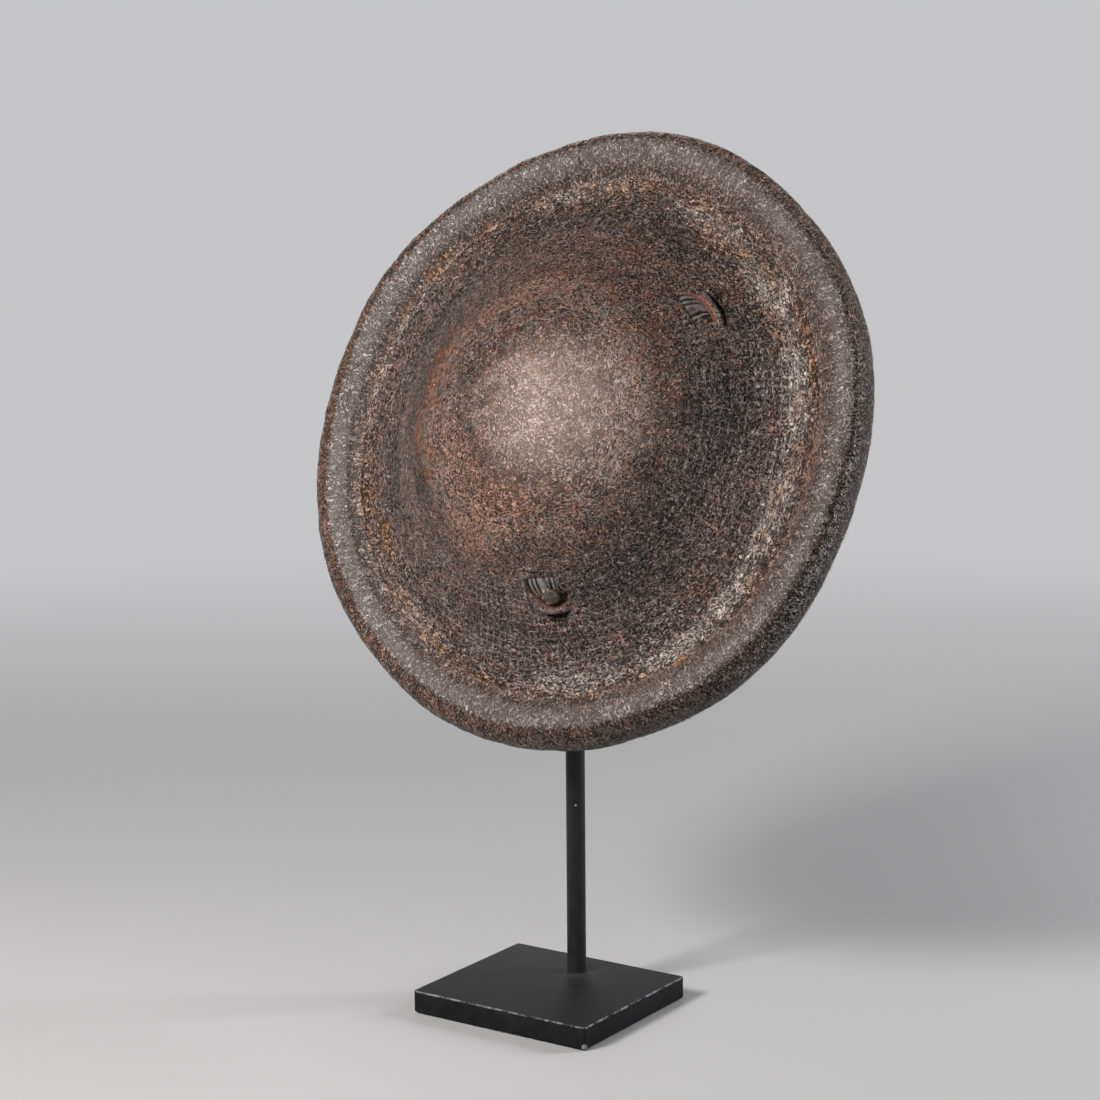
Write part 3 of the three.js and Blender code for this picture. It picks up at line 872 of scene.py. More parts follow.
def sweep(name, frames, section):
    """A closed skin through frames of (place, side, face). section(i) has ring i's points in its frame."""
    rings = []
    for i, (place, side, face) in enumerate(frames):
        rings.append([place + side * along + face * up for along, up in section(i)])
    return ring_skin(name, rings)


def path_runs(places):
    """The direction of a path at each of its points"""
    last = len(places) - 1
    return [(places[min(i + 1, last)] - places[max(i - 1, 0)]).normalized() for i in range(last + 1)]


def circle_point(turn, radius=1.0):
    return radius * math.cos(turn), radius * math.sin(turn)


def squared_point(turn, power, up_power):
    """A circle's point, pushed out towards a square by powers under 1"""
    c, s = circle_point(turn)
    return math.copysign(abs(c) ** power, c), math.copysign(abs(s) ** up_power, s)


def round_tube(name, points, radius, sides=10, taper=0.0):
    """A round tube along points, its ends narrowed by the taper share"""
    frames = []
    last = len(points) - 1
    side = (points[1] - points[0]).normalized().orthogonal().normalized()
    for point, run in zip(points, path_runs(points)):
        side = (side - run * side.dot(run)).normalized()
        frames.append((point, side, run.cross(side)))

    def section(i):
        end = min(i, last - i) / max(1, last) * 2
        reach = radius * (1 - taper * (1 - end)) * (end_reach_share if i in (0, last) else 1)
        return [circle_point(math.tau * k / sides, reach) for k in range(sides)]

    return sweep(name, frames, section)


def dress(obj, body, material, nodes=(), sharp=40 * degree):
    """Gives a finished piece its shading, material and body, and hides the solids that it stands for"""
    shade(obj, sharp)
    obj.data.materials.clear()
    obj.data.materials.append(material)
    if body:
        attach(obj, body)
    if nodes:
        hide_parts(*nodes)
    return obj


def set_values(obj, name, values):
    attribute = obj.data.attributes.get(name) or obj.data.attributes.new(name, "FLOAT", "POINT")
    attribute.data.foreach_set("value", np.asarray(values, np.float32))


def set_vectors(obj, name, values):
    attribute = obj.data.attributes.get(name) or obj.data.attributes.new(name, "FLOAT_VECTOR", "POINT")
    attribute.data.foreach_set("vector", np.asarray(values, np.float32).ravel())


def get_places(obj):
    places = np.empty(len(obj.data.vertices) * 3)
    obj.data.vertices.foreach_get("co", places)
    return places.reshape(-1, 3)


def push_out(obj, relief):
    """Moves every vertex along its normal"""
    normals = np.array([v.normal for v in obj.data.vertices])
    obj.data.vertices.foreach_set("co", (get_places(obj) + normals * relief[:, None]).ravel())


def add_to_scene(name, data):
    obj = bpy.data.objects.new(name, data)
    bpy.context.scene.collection.objects.link(obj)
    return obj


# Materials

# Noise in the materials: lump size in mm, detail, roughness and distortion
grains = {
    "clouds": (52, 4.0, 0.6, 0.0), "blots": (11, 4.0, 0.65, 0.8), "grey": (13, 3.0, 0.6, 0.6),
    "patches": (17, 4.0, 0.62, 0.5), "spots": (5.5, 3.0, 0.6, 0.8), "lumps": (7, 2.0, 0.5, 0.0),
    "fine": (1.15, 1.0, 0.5, 0.5), "streaks": (1.2, 1.0, 0.5, 0.5), "round_lines": (2.3, 1.0, 0.5, 1.2),
    "dome_lines": (2.8, 1.0, 0.5, 1.4), "crimps": (2.6, 1.0, 0.5, 1.8), "net_shake": (19, 2.0, 0.5, 0.0),
    "leather_fine": (1.6, 3.0, 0.6, 0.3), "leather_cracks": (5.0, 3.0, 0.6, 1.0),
    "leather_tone": (14, 3.0, 0.6, 0.0), "hair": (6, 2.0, 0.5, 0.0), "peel": (1.1, 2.0, 0.5, 0.0),
    "paint_smears": (38, 4.0, 0.62, 0.6), "paint_specks": (2.4, 2.0, 0.5, 0.0),
    "plate_wear": (7, 4.0, 0.65, 0.0), "plate_scrapes": (1.4, 2.0, 0.6, 0.0),
    "plate_smears": (26, 5.0, 0.62, 0.8), "plate_specks": (1.8, 2.0, 0.5, 0.0),
    "turning": (1.5, 2.0, 0.5, 0.0), "fibres": (0.7, 3.0, 0.7, 1.5),
}


class Nodes:
    """Short calls for the nodes of one tree"""

    def __init__(self, tree):
        self.tree = tree

    def node(self, kind, values=(), **settings):
        node = self.tree.nodes.new(kind)
        for key, value in settings.items():
            setattr(node, key, value)
        for key, value in dict(values).items():
            self.feed(node.inputs[key], value)
        return node

    def feed(self, socket, value):
        if isinstance(value, bpy.types.NodeSocket):
            self.tree.links.new(value, socket)
        else:
            socket.default_value = value

    def places(self, kind="Object"):
        return self.node("ShaderNodeTexCoord").outputs[kind]

    def axes(self, vector):
        return self.node("ShaderNodeSeparateXYZ", {0: vector}).outputs

    def value(self, name):
        return self.node("ShaderNodeAttribute", attribute_name=name).outputs["Fac"]

    def vector(self, name):
        return self.node("ShaderNodeAttribute", attribute_name=name).outputs["Vector"]

    def stretched(self, vector, shares):
        return self.node("ShaderNodeVectorMath", {0: vector, 1: shares}, operation="MULTIPLY").outputs[0]

    def distance(self, vector, place):
        node = self.node("ShaderNodeVectorMath", {0: vector, 1: place}, operation="DISTANCE")
        return node.outputs["Value"]

    def noise(self, vector, name):
        size, *looks = grains[name]
        values = dict(zip(("Detail", "Roughness", "Distortion"), looks))
        values.update({"Vector": vector, "Scale": 1 / (size * mm)})
        return self.node("ShaderNodeTexNoise", values).outputs["Fac"]

    def math(self, operation, a, b=0.5, c=0.5):
        return self.node("ShaderNodeMath", {0: a, 1: b, 2: c}, operation=operation).outputs[0]

    def add(self, a, b):
        return self.math("ADD", a, b)

    def minus(self, a, b):
        return self.math("SUBTRACT", a, b)

    def most(self, a, b):
        return self.math("MAXIMUM", a, b)

    def times(self, first, *others):
        for other in others:
            first = self.math("MULTIPLY", first, other)
        return first

    def away(self, value, middle=0.5):
        return self.math("ABSOLUTE", self.minus(value, middle))

    def step(self, value, low, high, to_low=0.0, to_high=1.0):
        values = {"Value": value, "From Min": low, "From Max": high, "To Min": to_low, "To Max": to_high}
        return self.node("ShaderNodeMapRange", values, interpolation_type="SMOOTHSTEP").outputs["Result"]

    def lines(self, value, width):
        """Thin lines where a noise passes its middle"""
        return self.step(self.away(value), width, 0.0)

    def blend(self, share, a, b):
        return self.node("ShaderNodeMix", {0: share, 2: a, 3: b}, data_type="FLOAT").outputs[0]

    def mix(self, share, a, b):
        node = self.node("ShaderNodeMix", data_type="RGBA")
        self.feed(node.inputs[0], share)
        for socket, value in ((node.inputs[6], a), (node.inputs[7], b)):
            self.feed(socket, (*value, 1) if isinstance(value, tuple) else value)
        return node.outputs[2]

    def bump(self, height, distance, normal=None):
        values = {"Height": height, "Distance": distance, "Strength": 1.0}
        if normal is not None:
            values["Normal"] = normal
        return self.node("ShaderNodeBump", values).outputs["Normal"]

    def mix_shaders(self, share, first, second, output):
        mix = self.node("ShaderNodeMixShader", {0: share, 1: first.outputs[0], 2: second.outputs[0]})
        self.tree.links.new(mix.outputs[0], self.tree.nodes[output].inputs[0])


class Surface(Nodes):
    """A material with its tree and its shader"""

    def __init__(self, name):
        self.material = bpy.data.materials.new(name)
        self.material.use_nodes = True
        super().__init__(self.material.node_tree)
        self.shader = self.tree.nodes["Principled BSDF"]

    def set(self, **values):
        for key, value in values.items():
            self.feed(self.shader.inputs[key.replace("_", " ")], value)


mask_names = (
    "rust", "red", "ochre", "pale", "raw", "rim", "outer", "back",
    "dark", "warm", "bald_highlight", "smooth", "foot", "net", "hollow_shade", "crest", "middle",
)


def net_ridges(s, polar, shake):
    """Thin crossing ridges of the net's imprint, 1 on a ridge's line"""
    along, x, y = s.axes(polar)
    across = s.add(s.times(along, 1 / net_pitch), shake)
    round_it = s.add(s.times(s.math("ARCTAN2", y, x), round(net_reach / net_pitch)), s.times(shake, -1.4))
    return s.most(*(s.step(s.away(s.math("FRACT", value)), 0.19, 0.04) for value in (across, round_it)))


def shade_hide(s, m, tone, height, fine, spot):
    """The ground tone with painted shade in the grain's hollows and the hide's creases, painted glints on the
    grain's ridge tops, worn gold spots and raw edges
    """
    pressed = s.most(m["pale"], m["net"])
    # Painted shade and light: the tone is darkened in the grain's hollows and lightened on its ridges
    shade = s.step(height, 0.32, 1.02, 0.20, 2.8)
    shade = s.blend(s.add(s.times(m["smooth"], 0.55), s.times(m["crest"], 0.4)), shade, 1.35)
    # Painted shade: the tone is darkened in the rim's creases, the sunk skin past the slits and the recess
    # floors
    shade = s.times(shade, s.step(m["hollow_shade"], 0.0, 1.0, 1.0, 0.30))
    colour = s.node("ShaderNodeVectorMath", {0: tone, "Scale": shade}, operation="SCALE").outputs[0]
    # Painted glints, partly dusty tan: pale colour on the grain's highest ridges, grey-white along the rim's
    # crest
    tip_glints = s.add(s.times(pressed, 0.2), s.times(m["crest"], 0.22))
    tip_glints = s.times(s.step(height, 0.74, 1.08), s.minus(s.add(tip_glints, 0.30), s.times(m["rust"], 0.2)))
    grey_glints = s.most(m["crest"], s.times(pressed, 0.7))
    colour = s.mix(tip_glints, colour, s.mix(grey_glints, (0.58, 0.45, 0.37), (0.72, 0.67, 0.66)))
    worn = s.step(s.add(s.times(height, 0.5), s.times(spot, 0.65)), 0.56, 0.74)
    gold = s.times(m["ochre"], worn, s.step(height, 0.45, 0.9))
    colour = s.mix(gold, colour, s.mix(s.step(spot, 0.35, 0.62), (0.32, 0.135, 0.055), (0.82, 0.46, 0.22)))
    edge = s.mix(s.step(fine, 0.35, 0.65), (0.17, 0.055, 0.038), (0.52, 0.22, 0.15))
    return s.mix(m["raw"], colour, edge)


def hide_tone(s, m, place, patch, spot):
    """The hide's ground tone, from broad clouds to the masks' patches"""
    broad = s.noise(place, "clouds")
    blot = s.noise(place, "blots")
    grey = s.noise(place, "grey")
    rusty = s.times(m["rust"], s.step(s.add(s.times(spot, 0.5), s.times(blot, 0.5)), 0.42, 0.58))
    rust_tone = s.mix(s.step(spot, 0.4, 0.6), (0.075, 0.028, 0.015), (0.30, 0.105, 0.036))
    outer_tone = s.mix(s.step(spot, 0.42, 0.60), (0.038, 0.018, 0.012), (0.170, 0.066, 0.034))
    coats = (
        (s.step(grey, 0.50, 0.62, 0.0, 0.65), (0.128, 0.106, 0.104)),
        (s.step(blot, 0.50, 0.62, 0.0, 0.8), (0.195, 0.080, 0.052)),
        (s.step(patch, 0.50, 0.62, 0.0, 0.8), (0.034, 0.019, 0.015)),
        (s.times(m["warm"], s.step(blot, 0.3, 0.6, 0.45, 1.0)), (0.285, 0.145, 0.102)),
        # The bald apex: wear and a painted highlight
        (s.times(m["bald_highlight"], s.step(grey, 0.3, 0.7, 0.6, 1.0)), (0.345, 0.265, 0.235)),
        (s.times(m["rust"], 0.6), (0.050, 0.022, 0.014)),
        (rusty, rust_tone),
        (s.times(m["red"], s.step(spot, 0.54, 0.64), 0.8), (0.20, 0.052, 0.038)),
        (s.times(m["net"], 0.5), (0.100, 0.082, 0.078)),
        # Pale valley: the hide's own grey, and painted light on the right valley
        (s.times(m["pale"], 0.85), (0.480, 0.405, 0.370)),
        (s.times(m["rim"], 0.65), (0.150, 0.112, 0.100)),
        # The rim's crest: wear and a painted highlight
        (s.times(m["crest"], 0.9), (0.290, 0.249, 0.238)),
        (s.times(m["outer"], 0.9), outer_tone),
        # Near-black: dark hide, and painted shade on the right flank and on the outer band turned from the
        # key light
        (s.times(m["dark"], s.step(patch, 0.3, 0.6, 0.6, 0.95)), (0.016, 0.0105, 0.009)),
    )
    tone = s.mix(s.step(broad, 0.35, 0.65), (0.094, 0.058, 0.045), (0.138, 0.088, 0.069))
    for share, coat in coats:
        tone = s.mix(share, tone, coat)
    return tone


def hide_grain(s, m, place, polar, fine):
    """Height of the fine grain: worm-like lines, grain or streaks, and the net's ridges"""
    round_it = s.noise(s.stretched(polar, round_stretch), "round_lines")
    dome_lines = s.noise(s.stretched(s.vector("inner"), round_stretch), "dome_lines")
    dome_lines = s.blend(m["middle"], dome_lines, s.noise(place, "dome_lines"))
    crimps = s.noise(s.stretched(polar, crimp_stretch), "crimps")
    worms = s.lines(s.blend(m["rim"], s.blend(m["foot"], dome_lines, round_it), crimps), 0.13)
    streaks = s.noise(s.stretched(polar, streak_stretch), "streaks")
    grain = s.blend(s.times(m["foot"], s.minus(1.0, m["rim"])), fine, streaks)
    ridge = net_ridges(s, polar, s.noise(place, "net_shake"))
    height = s.add(s.times(worms, 0.75), s.times(grain, 0.6))
    return s.add(height, s.times(m["net"], s.minus(ridge, 0.45), 0.36))


def hide_material():
    s = Surface("worn_hide_with_painted_light")
    place, polar = s.places(), s.vector("polar")
    m = {name: s.value(name) for name in mask_names}
    fine = s.noise(place, "fine")
    lump = s.noise(place, "lumps")
    patch = s.noise(place, "patches")
    spot = s.noise(place, "spots")
    height = hide_grain(s, m, place, polar, fine)
    colour = shade_hide(s, m, hide_tone(s, m, place, patch, spot), height, fine, spot)
    flesh = s.mix(s.step(lump, 0.3, 0.7), (0.055, 0.034, 0.024), (0.15, 0.10, 0.07))
    flesh = s.mix(s.step(fine, 0.55, 0.8, 0.0, 0.5), flesh, (0.27, 0.20, 0.15))

    gloss = s.minus(s.step(height, 0.3, 0.95, 0.52, 0.27), s.times(m["crest"], 0.07))
    gloss = s.add(gloss, s.step(patch, 0.3, 0.7, -0.04, 0.06))
    gloss = s.add(gloss, s.times(s.most(m["back"], m["hollow_shade"]), 0.22))
    relief = s.times(height, s.step(m["smooth"], 0.0, 1.0, 1.0, 0.35))
    normal = s.bump(relief, grain_bump, s.bump(lump, lump_bump))
    # Painted shade on the reflection: the specular tint darkens in the grain's hollows, the rim's creases and
    # the recess floors
    hollow_reflection_shade = s.times(s.step(height, 0.32, 0.8, 0.15, 1.0), s.step(m["hollow_shade"], 0.0, 1.0, 1.0, 0.1))
    s.set(Base_Color=s.mix(m["back"], colour, flesh), Roughness=gloss, Normal=normal)
    s.set(Specular_IOR_Level=1.0, Specular_Tint=s.mix(hollow_reflection_shade, (0.0, 0.0, 0.0), (1.0, 1.0, 1.0)))
    return s.material


def leather_material(name, deep, mid, high, roughness):
    """Smooth strap leather, cracked across, with a painted highlight on its ridges and painted shade deep in
    its pleats
    """
    s = Surface(name)
    place = s.places()
    fine = s.noise(place, "leather_fine")
    cracks = s.lines(s.noise(place, "leather_cracks"), 0.03)
    tone = s.noise(place, "leather_tone")
    colour = s.mix(s.step(tone, 0.35, 0.65), deep, mid)
    colour = s.mix(s.step(fine, 0.58, 0.8, 0.0, 0.5), colour, high)
    colour = s.mix(s.times(cracks, 0.7), colour, deep)
    dip = s.value("dip")
    # Painted highlight: the pale tone on the pleats' ridges and on leather without a dip attribute
    colour = s.mix(s.times(s.step(dip, 0.22, 0.0), s.step(tone, 0.38, 0.58, 0.05, 0.6)), colour, high)
    # Painted shade: near black deep in the pleats' hollows
    colour = s.mix(s.step(dip, 0.15, 1.1), colour, (0.006, 0.005, 0.005))
    height = s.minus(fine, s.times(cracks, 0.6))
    gloss = s.step(tone, 0.3, 0.7, roughness - 0.08, roughness + 0.12)
    s.set(Base_Color=colour, Roughness=gloss, Specular_IOR_Level=0.8, Normal=s.bump(height, leather_bump))
    return s.material


def hair_material():
    s = Surface("hide_hair")
    tone = s.noise(s.places(), "hair")
    colour = s.mix(s.step(tone, 0.35, 0.65), (0.05, 0.032, 0.022), (0.36, 0.28, 0.21))
    s.set(Base_Color=colour, Roughness=s.step(tone, 0.3, 0.7, 0.45, 0.6), Specular_IOR_Level=0.4)
    return s.material


post_chip = (4.5 * mm, post_place - 6.6 * mm, 165 * mm)
plate_chip = (plate_width / 2 - 1 * mm, 1 * mm - plate_depth / 2, felt_thickness + 2 * mm)


def black_steel():
    """Satin black paint with faint orange peel and rubbed spots"""
    s = Surface("black_steel_paint")
    place = s.places()
    peel = s.noise(place, "peel")
    smear = s.noise(place, "paint_smears")
    specks = s.step(s.noise(place, "paint_specks"), 0.74, 0.80)
    chip = s.step(s.add(s.distance(place, post_chip), s.times(peel, post_chip_shake)), *post_chip_reach)
    colour = s.mix(s.step(smear, 0.35, 0.7), (0.010, 0.010, 0.011), (0.020, 0.020, 0.021))
    colour = s.mix(s.times(specks, 0.4), colour, (0.10, 0.10, 0.10))
    colour = s.mix(chip, colour, (0.45, 0.45, 0.46))
    gloss = s.step(smear, 0.3, 0.7, 0.40, 0.52)
    s.set(Base_Color=colour, Roughness=gloss, Specular_IOR_Level=0.25, Normal=s.bump(peel, peel_bump))
    return s.material


def plate_wear(s, place):
    """Where the plate's paint is gone: along its top edges, at its corners and in one chip"""
    x, y, z = s.axes(place)
    side = s.minus(plate_width / 2, s.math("ABSOLUTE", x))
    end = s.minus(plate_depth / 2, s.math("ABSOLUTE", y))
    top = s.minus(plate_top, z)
    wear = s.noise(place, "plate_wear")
    scrape = s.noise(place, "plate_scrapes")
    rubbed = s.step(s.add(top, s.math("MINIMUM", side, end)), *rub_reach)
    rubbed = s.times(rubbed, s.step(s.add(s.times(wear, 0.7), s.times(scrape, 0.3)), 0.40, 0.60))
    corner = s.times(s.step(s.add(side, end), *corner_reach), s.step(wear, 0.62, 0.72))
    chip_away = s.add(s.distance(place, plate_chip), s.times(scrape, plate_chip_shake))
    chip = s.step(chip_away, *plate_chip_reach)
    return s.most(s.most(rubbed, corner), chip), top


def plate_material():
    """The plate's paint: rubbed bright along its edges, chipped at the front corner, dusty round the post"""
    s = Surface("plate_paint")
    place = s.places()
    bare, top = plate_wear(s, place)
    smear = s.noise(place, "plate_smears")
    dust = s.step(s.distance(place, (0, post_place, plate_top)), *dust_reach)
    dust = s.times(dust, s.step(smear, 0.35, 0.7), s.step(top, *dust_depth))
    specks = s.times(s.step(s.noise(place, "plate_specks"), 0.75, 0.80), 0.5)
    colour = s.mix(s.step(smear, 0.35, 0.7), (0.009, 0.009, 0.010), (0.017, 0.017, 0.019))
    colour = s.mix(s.times(dust, 0.16), colour, (0.20, 0.19, 0.18))
    colour = s.mix(specks, colour, (0.05, 0.05, 0.05))
    colour = s.mix(bare, colour, (0.34, 0.35, 0.37))
    gloss = s.add(s.step(smear, 0.3, 0.7, 0.58, 0.64), s.times(dust, 0.1))
    peel = s.noise(place, "peel")
    s.set(Base_Color=colour, Roughness=gloss, Specular_IOR_Level=0.12, Normal=s.bump(peel, peel_bump))
    return s.material


def screw_steel():
    s = Surface("plain_screw_steel")
    place = s.places()
    fine = s.noise(s.stretched(place, turning_stretch), "turning")
    colour = s.mix(s.step(fine, 0.3, 0.7), (0.36, 0.36, 0.37), (0.5, 0.5, 0.51))
    s.set(Base_Color=colour, Metallic=1.0, Roughness=s.step(fine, 0.3, 0.7, 0.28, 0.42))
    return s.material


def felt_material():
    s = Surface("black_wool_felt")
    place = s.places()
    fibres = s.noise(place, "fibres")
    colour = s.mix(fibres, (0.012, 0.012, 0.013), (0.05, 0.05, 0.053))
    s.set(Base_Color=colour, Roughness=0.95, Specular_IOR_Level=0.2, Normal=s.bump(fibres, fibre_bump))
    s.set(Sheen_Weight=0.25, Sheen_Roughness=0.5)
    return s.material


# The hide

def slot_cutters():
    cutters = []
    for name, slot in strap_slots.items():
        matrix = slot_matrix(slot)
        cuts = [
            (opening_outline(slot), [(-recess_depth, recess_draw), (-lip_depth, 0), (cutter_top, 0)]),
            (slit_outline(slot), [(-slit_depth, slit_draw), (-lip_depth, 0), (cutter_top, 0)]),
            (shank_outline(), [(-2 * hide_thickness, 0), (-recess_depth / 2, 0)]),
        ]
        for outline, levels in cuts:
            cutter = prism(f"{name}_cutter", outline, levels)
            cutter.data.transform(matrix)
            cutters.append(cutter)
    cutter = join_objects(cutters, "slot_cutters")
    cutter.data.transform(shield_frame)
    return cutter


def refine_near_slots(data, faces):
    """Splits the faces round the slots twice, and returns the vertices' data with the new ones"""
    points = section_places(data[:, 0], data[:, 1], data[:, 2])[0]
    mesh = bmesh.new()
    columns = [mesh.verts.layers.float.new(name) for name in ("row", "depth", "turn_x", "turn_y")]
    table = np.stack([data[:, 0], data[:, 1], np.cos(data[:, 2]), np.sin(data[:, 2])], 1)
    vertices = []
    for point, values in zip(points, table):
        vertex = mesh.verts.new(point)
        for column, value in zip(columns, values):
            vertex[column] = value
        vertices.append(vertex)
    for face in faces:
        mesh.faces.new([vertices[i] for i in face])
    for slot in strap_slots.values():
        inverse = slot_matrix(slot).inverted()
        for _ in range(2):
            split_near(mesh, inverse, columns[1])
    mesh.verts.index_update()
    rows = np.array([[vertex[column] for column in columns] for vertex in mesh.verts])
    fine_faces = [tuple(v.index for v in face.verts) for face in mesh.faces]
    mesh.free()
    return np.stack([rows[:, 0], rows[:, 1], np.arctan2(rows[:, 3], rows[:, 2])], 1), fine_faces


def split_near(mesh, inverse, depth):
    """Splits the edges on the hide's front that lie near a slot"""
    mesh.verts.ensure_lookup_table()
    chosen = set()
    for vertex in mesh.verts:
        place = inverse @ vertex.co
        place.y -= slot_patch_place
        if abs(place.z) < slot_patch_height and place.xy.length < slot_patch and vertex[depth] == 0:
            chosen.add(vertex)
    edges = [e for e in mesh.edges if e.verts[0] in chosen and e.verts[1] in chosen]
    bmesh.ops.subdivide_edges(mesh, edges=edges, cuts=1, use_grid_fill=True)


# Patches of colour on the hide: place round the shield in degrees, radius, half length and half width
# in mm, and strength
rust_patches = [
    (158, 124, 32, 13, 1.0), (176, 112, 26, 9, 1.0), (-170, 118, 22, 7, 0.9), (138, 100, 24, 12, 0.45),
    (166, 104, 44, 24, 0.85), (-160, 108, 36, 18, 0.6), (118, 98, 28, 12, 0.4), (100, 130, 30, 12, 0.35),
    (76, 158, 24, 10, 0.3), (-100, 128, 20, 10, 0.35), (-66, 128, 9, 4, 0.9),
]
ochre_patches = [
    (143, 221, 9, 8, 1.0), (138, 222, 10, 4, 0.8), (152, 220, 26, 3, 0.6), (164, 218, 30, 2.5, 0.5),
    (126, 218, 22, 4, 0.6), (112, 214, 16, 5, 0.5), (99, 214.5, 13, 4, 1.0), (92, 211, 20, 8, 0.6),
    (83, 215, 14, 5, 0.8), (65, 212, 26, 4, 0.8), (52, 204, 14, 7, 0.7), (42, 208, 20, 5, 0.9),
    (27, 216, 26, 5, 0.8), (17, 217, 26, 4, 0.9), (10, 204, 16, 6, 0.5), (-2, 207, 24, 5, 0.6),
    (-12, 203, 18, 5, 0.8), (-20, 204, 14, 3.5, 0.7), (-30, 214, 18, 6, 0.5), (-52, 222, 8, 4, 1.0),
    (-74.5, 220.5, 8, 3.5, 1.0), (-104, 214, 20, 6, 0.5), (-120, 211, 26, 7, 0.7), (-134, 208, 22, 6, 0.8),
    (-150, 195, 26, 10, 1.0), (-161, 206, 26, 9, 0.7), (-172, 208, 22, 7, 0.3), (60, 196, 26, 12, 0.4),
    (30, 196, 30, 12, 0.35), (180, 216.5, 60, 1.5, 0.5), (-160, 217.5, 50, 1.5, 0.4),
    (4, 220, 60, 1.6, 0.5),
]
red_patches = [
    (-17.5, 166, 14, 9, 1.0), (-10, 177, 10, 8, 1.0), (24, 109, 10, 8, 1.0), (-14, 120, 9, 8, 0.8),
    (58, 140, 30, 18, 0.6), (74, 140, 30, 18, 0.7), (-60, 150, 30, 14, 0.6), (-84, 166, 30, 8, 0.7),
    (-112, 150, 30, 16, 0.6), (40, 172, 20, 12, 0.6), (120, 170, 40, 16, 0.5), (-30, 150, 26, 14, 0.5),
    (8, 186, 20, 10, 0.6), (-140, 128, 24, 14, 0.6),
]
warm_patches = [
    (-95, 78, 40, 26, 0.9), (-140, 70, 50, 26, 0.8), (-112, 112, 36, 18, 0.8), (170, 72, 40, 20, 0.15),
    (128, 96, 50, 24, 0.25), (95, 118, 40, 18, 0.5), (-60, 226, 60, 5, 0.7), (-85, 236, 50, 8, 0.6),
    (-30, 224, 60, 4, 0.7), (10, 224, 50, 3, 0.6),
]
# Dark patches: the hide's own near-black places, and on the right flank, turned from the key light, a painted
# shade
dark_patches = [
    (8, 152, 55, 28, 1.0), (-22, 140, 44, 22, 0.8), (30, 176, 30, 14, 0.6), (-48, 150, 70, 24, 0.9),
    (120, 190, 60, 14, 0.7), (150, 172, 70, 14, 0.9), (-165, 168, 60, 14, 0.9), (70, 182, 50, 14, 0.7),
    (-110, 168, 60, 12, 0.6), (172, 134, 50, 16, 0.8), (-150, 122, 30, 14, 0.7), (95, 184, 50, 12, 0.6),
    (-80, 176, 40, 10, 0.4), (160, 232, 110, 4, 0.7), (90, 230, 110, 4, 0.5),
]
# Pale patches: the hide's paler grey in the valley, made brighter on the right valley as a painted light
pale_patches = [
    (13, 203, 60, 11, 0.8), (-14, 204, 50, 11, 0.75), (38, 204, 50, 12, 0.7), (62, 206, 50, 12, 0.6),
    (-78, 208, 50, 12, 0.5), (-50, 212, 50, 10, 0.75), (-36, 208, 40, 10, 0.8), (160, 214, 90, 8, 0.4),
    (-130, 208, 60, 10, 0.4), (100, 214, 60, 10, 0.4),
]


def hollow_shade_share(local, radius, angle, roll_angle):
    """The creases in the rim, the sunk skin past the slits and the recess floors, where the colour gets a
    painted shade
    """
    share = 0.55 * outer_crease_share(local, angle, roll_angle)
    for depth in rim_crease_depths(local, angle, radius, roll_angle):
        share = np.maximum(share, 0.5 * depth)
    for slot in strap_slots.values():
        place = in_slot(local, slot)
        sunk = slit_share(place, slot, 0.54) * hump(place[:, 1], past_slit(slot), sunk_reach)
        floor = step_between(*floor_depths, place[:, 2])
        share = np.maximum(share, np.where(near_slot(place), np.maximum(sunk, floor), 0))
    return np.clip(share, 0, 1)


def patch_share(angle, radius, patches, shake):
    """How much of the listed patches covers each point, with ragged edges"""
    share = np.zeros(len(angle))
    for turn, middle, length, width, weight in patches:
        along = angle_from(angle, turn) * middle / length
        across = (radius / mm - middle) / width
        reach = np.sqrt(along**2 + across**2) + 0.45 * shake
        share = np.maximum(share, weight * step_between(1.25, 0.35, reach))
    return share


def get_values(obj, name):
    values = np.empty(len(obj.data.vertices), np.float32)
    obj.data.attributes[name].data.foreach_get("value", values)
    return values


def rim_masks(local, radius, angle, roll_angle, shake):
    """The rim's skin, its dark outer band and its worn crest, whose pale band is a painted highlight"""
    start = rim_start_radius + rim_start_shift * np.cos(angle) + rim_start_shake * shake
    rim = step_between(0, rim_start_shift, radius - start) * step_between(-60 * degree, 0, roll_angle)
    past = roll_angle - outer_crease_angle(angle) - 5 * degree * shake
    outer = step_between(4 * degree, -7 * degree, past)
    outer = outer * step_between(-64 * degree, -45 * degree, roll_angle)
    turn = np.degrees(angle)
    # Painted highlight: the crest's band is strongest on the sides that face the key light, and its roll
    # angle follows where that light's highlight falls
    lit_side = 0.9 - 0.35 * hump(turn, -75, 50) - 0.28 * hump(turn, 90, 60) + 0.2 * hump(turn, -140, 40)
    crest_highlight_angle = (99 - 23 * np.cos(angle) - 5 * np.sin(angle)) * degree
    crest = hump(roll_angle, crest_highlight_angle, (36 - 14 * np.cos(angle)) * degree)
    crest = crest * (1 + 0.5 * noise(local, crest_cloud, 44))
    return rim, outer, np.clip(lit_side * rim * (1 - 0.8 * outer) * crest, 0, 1)


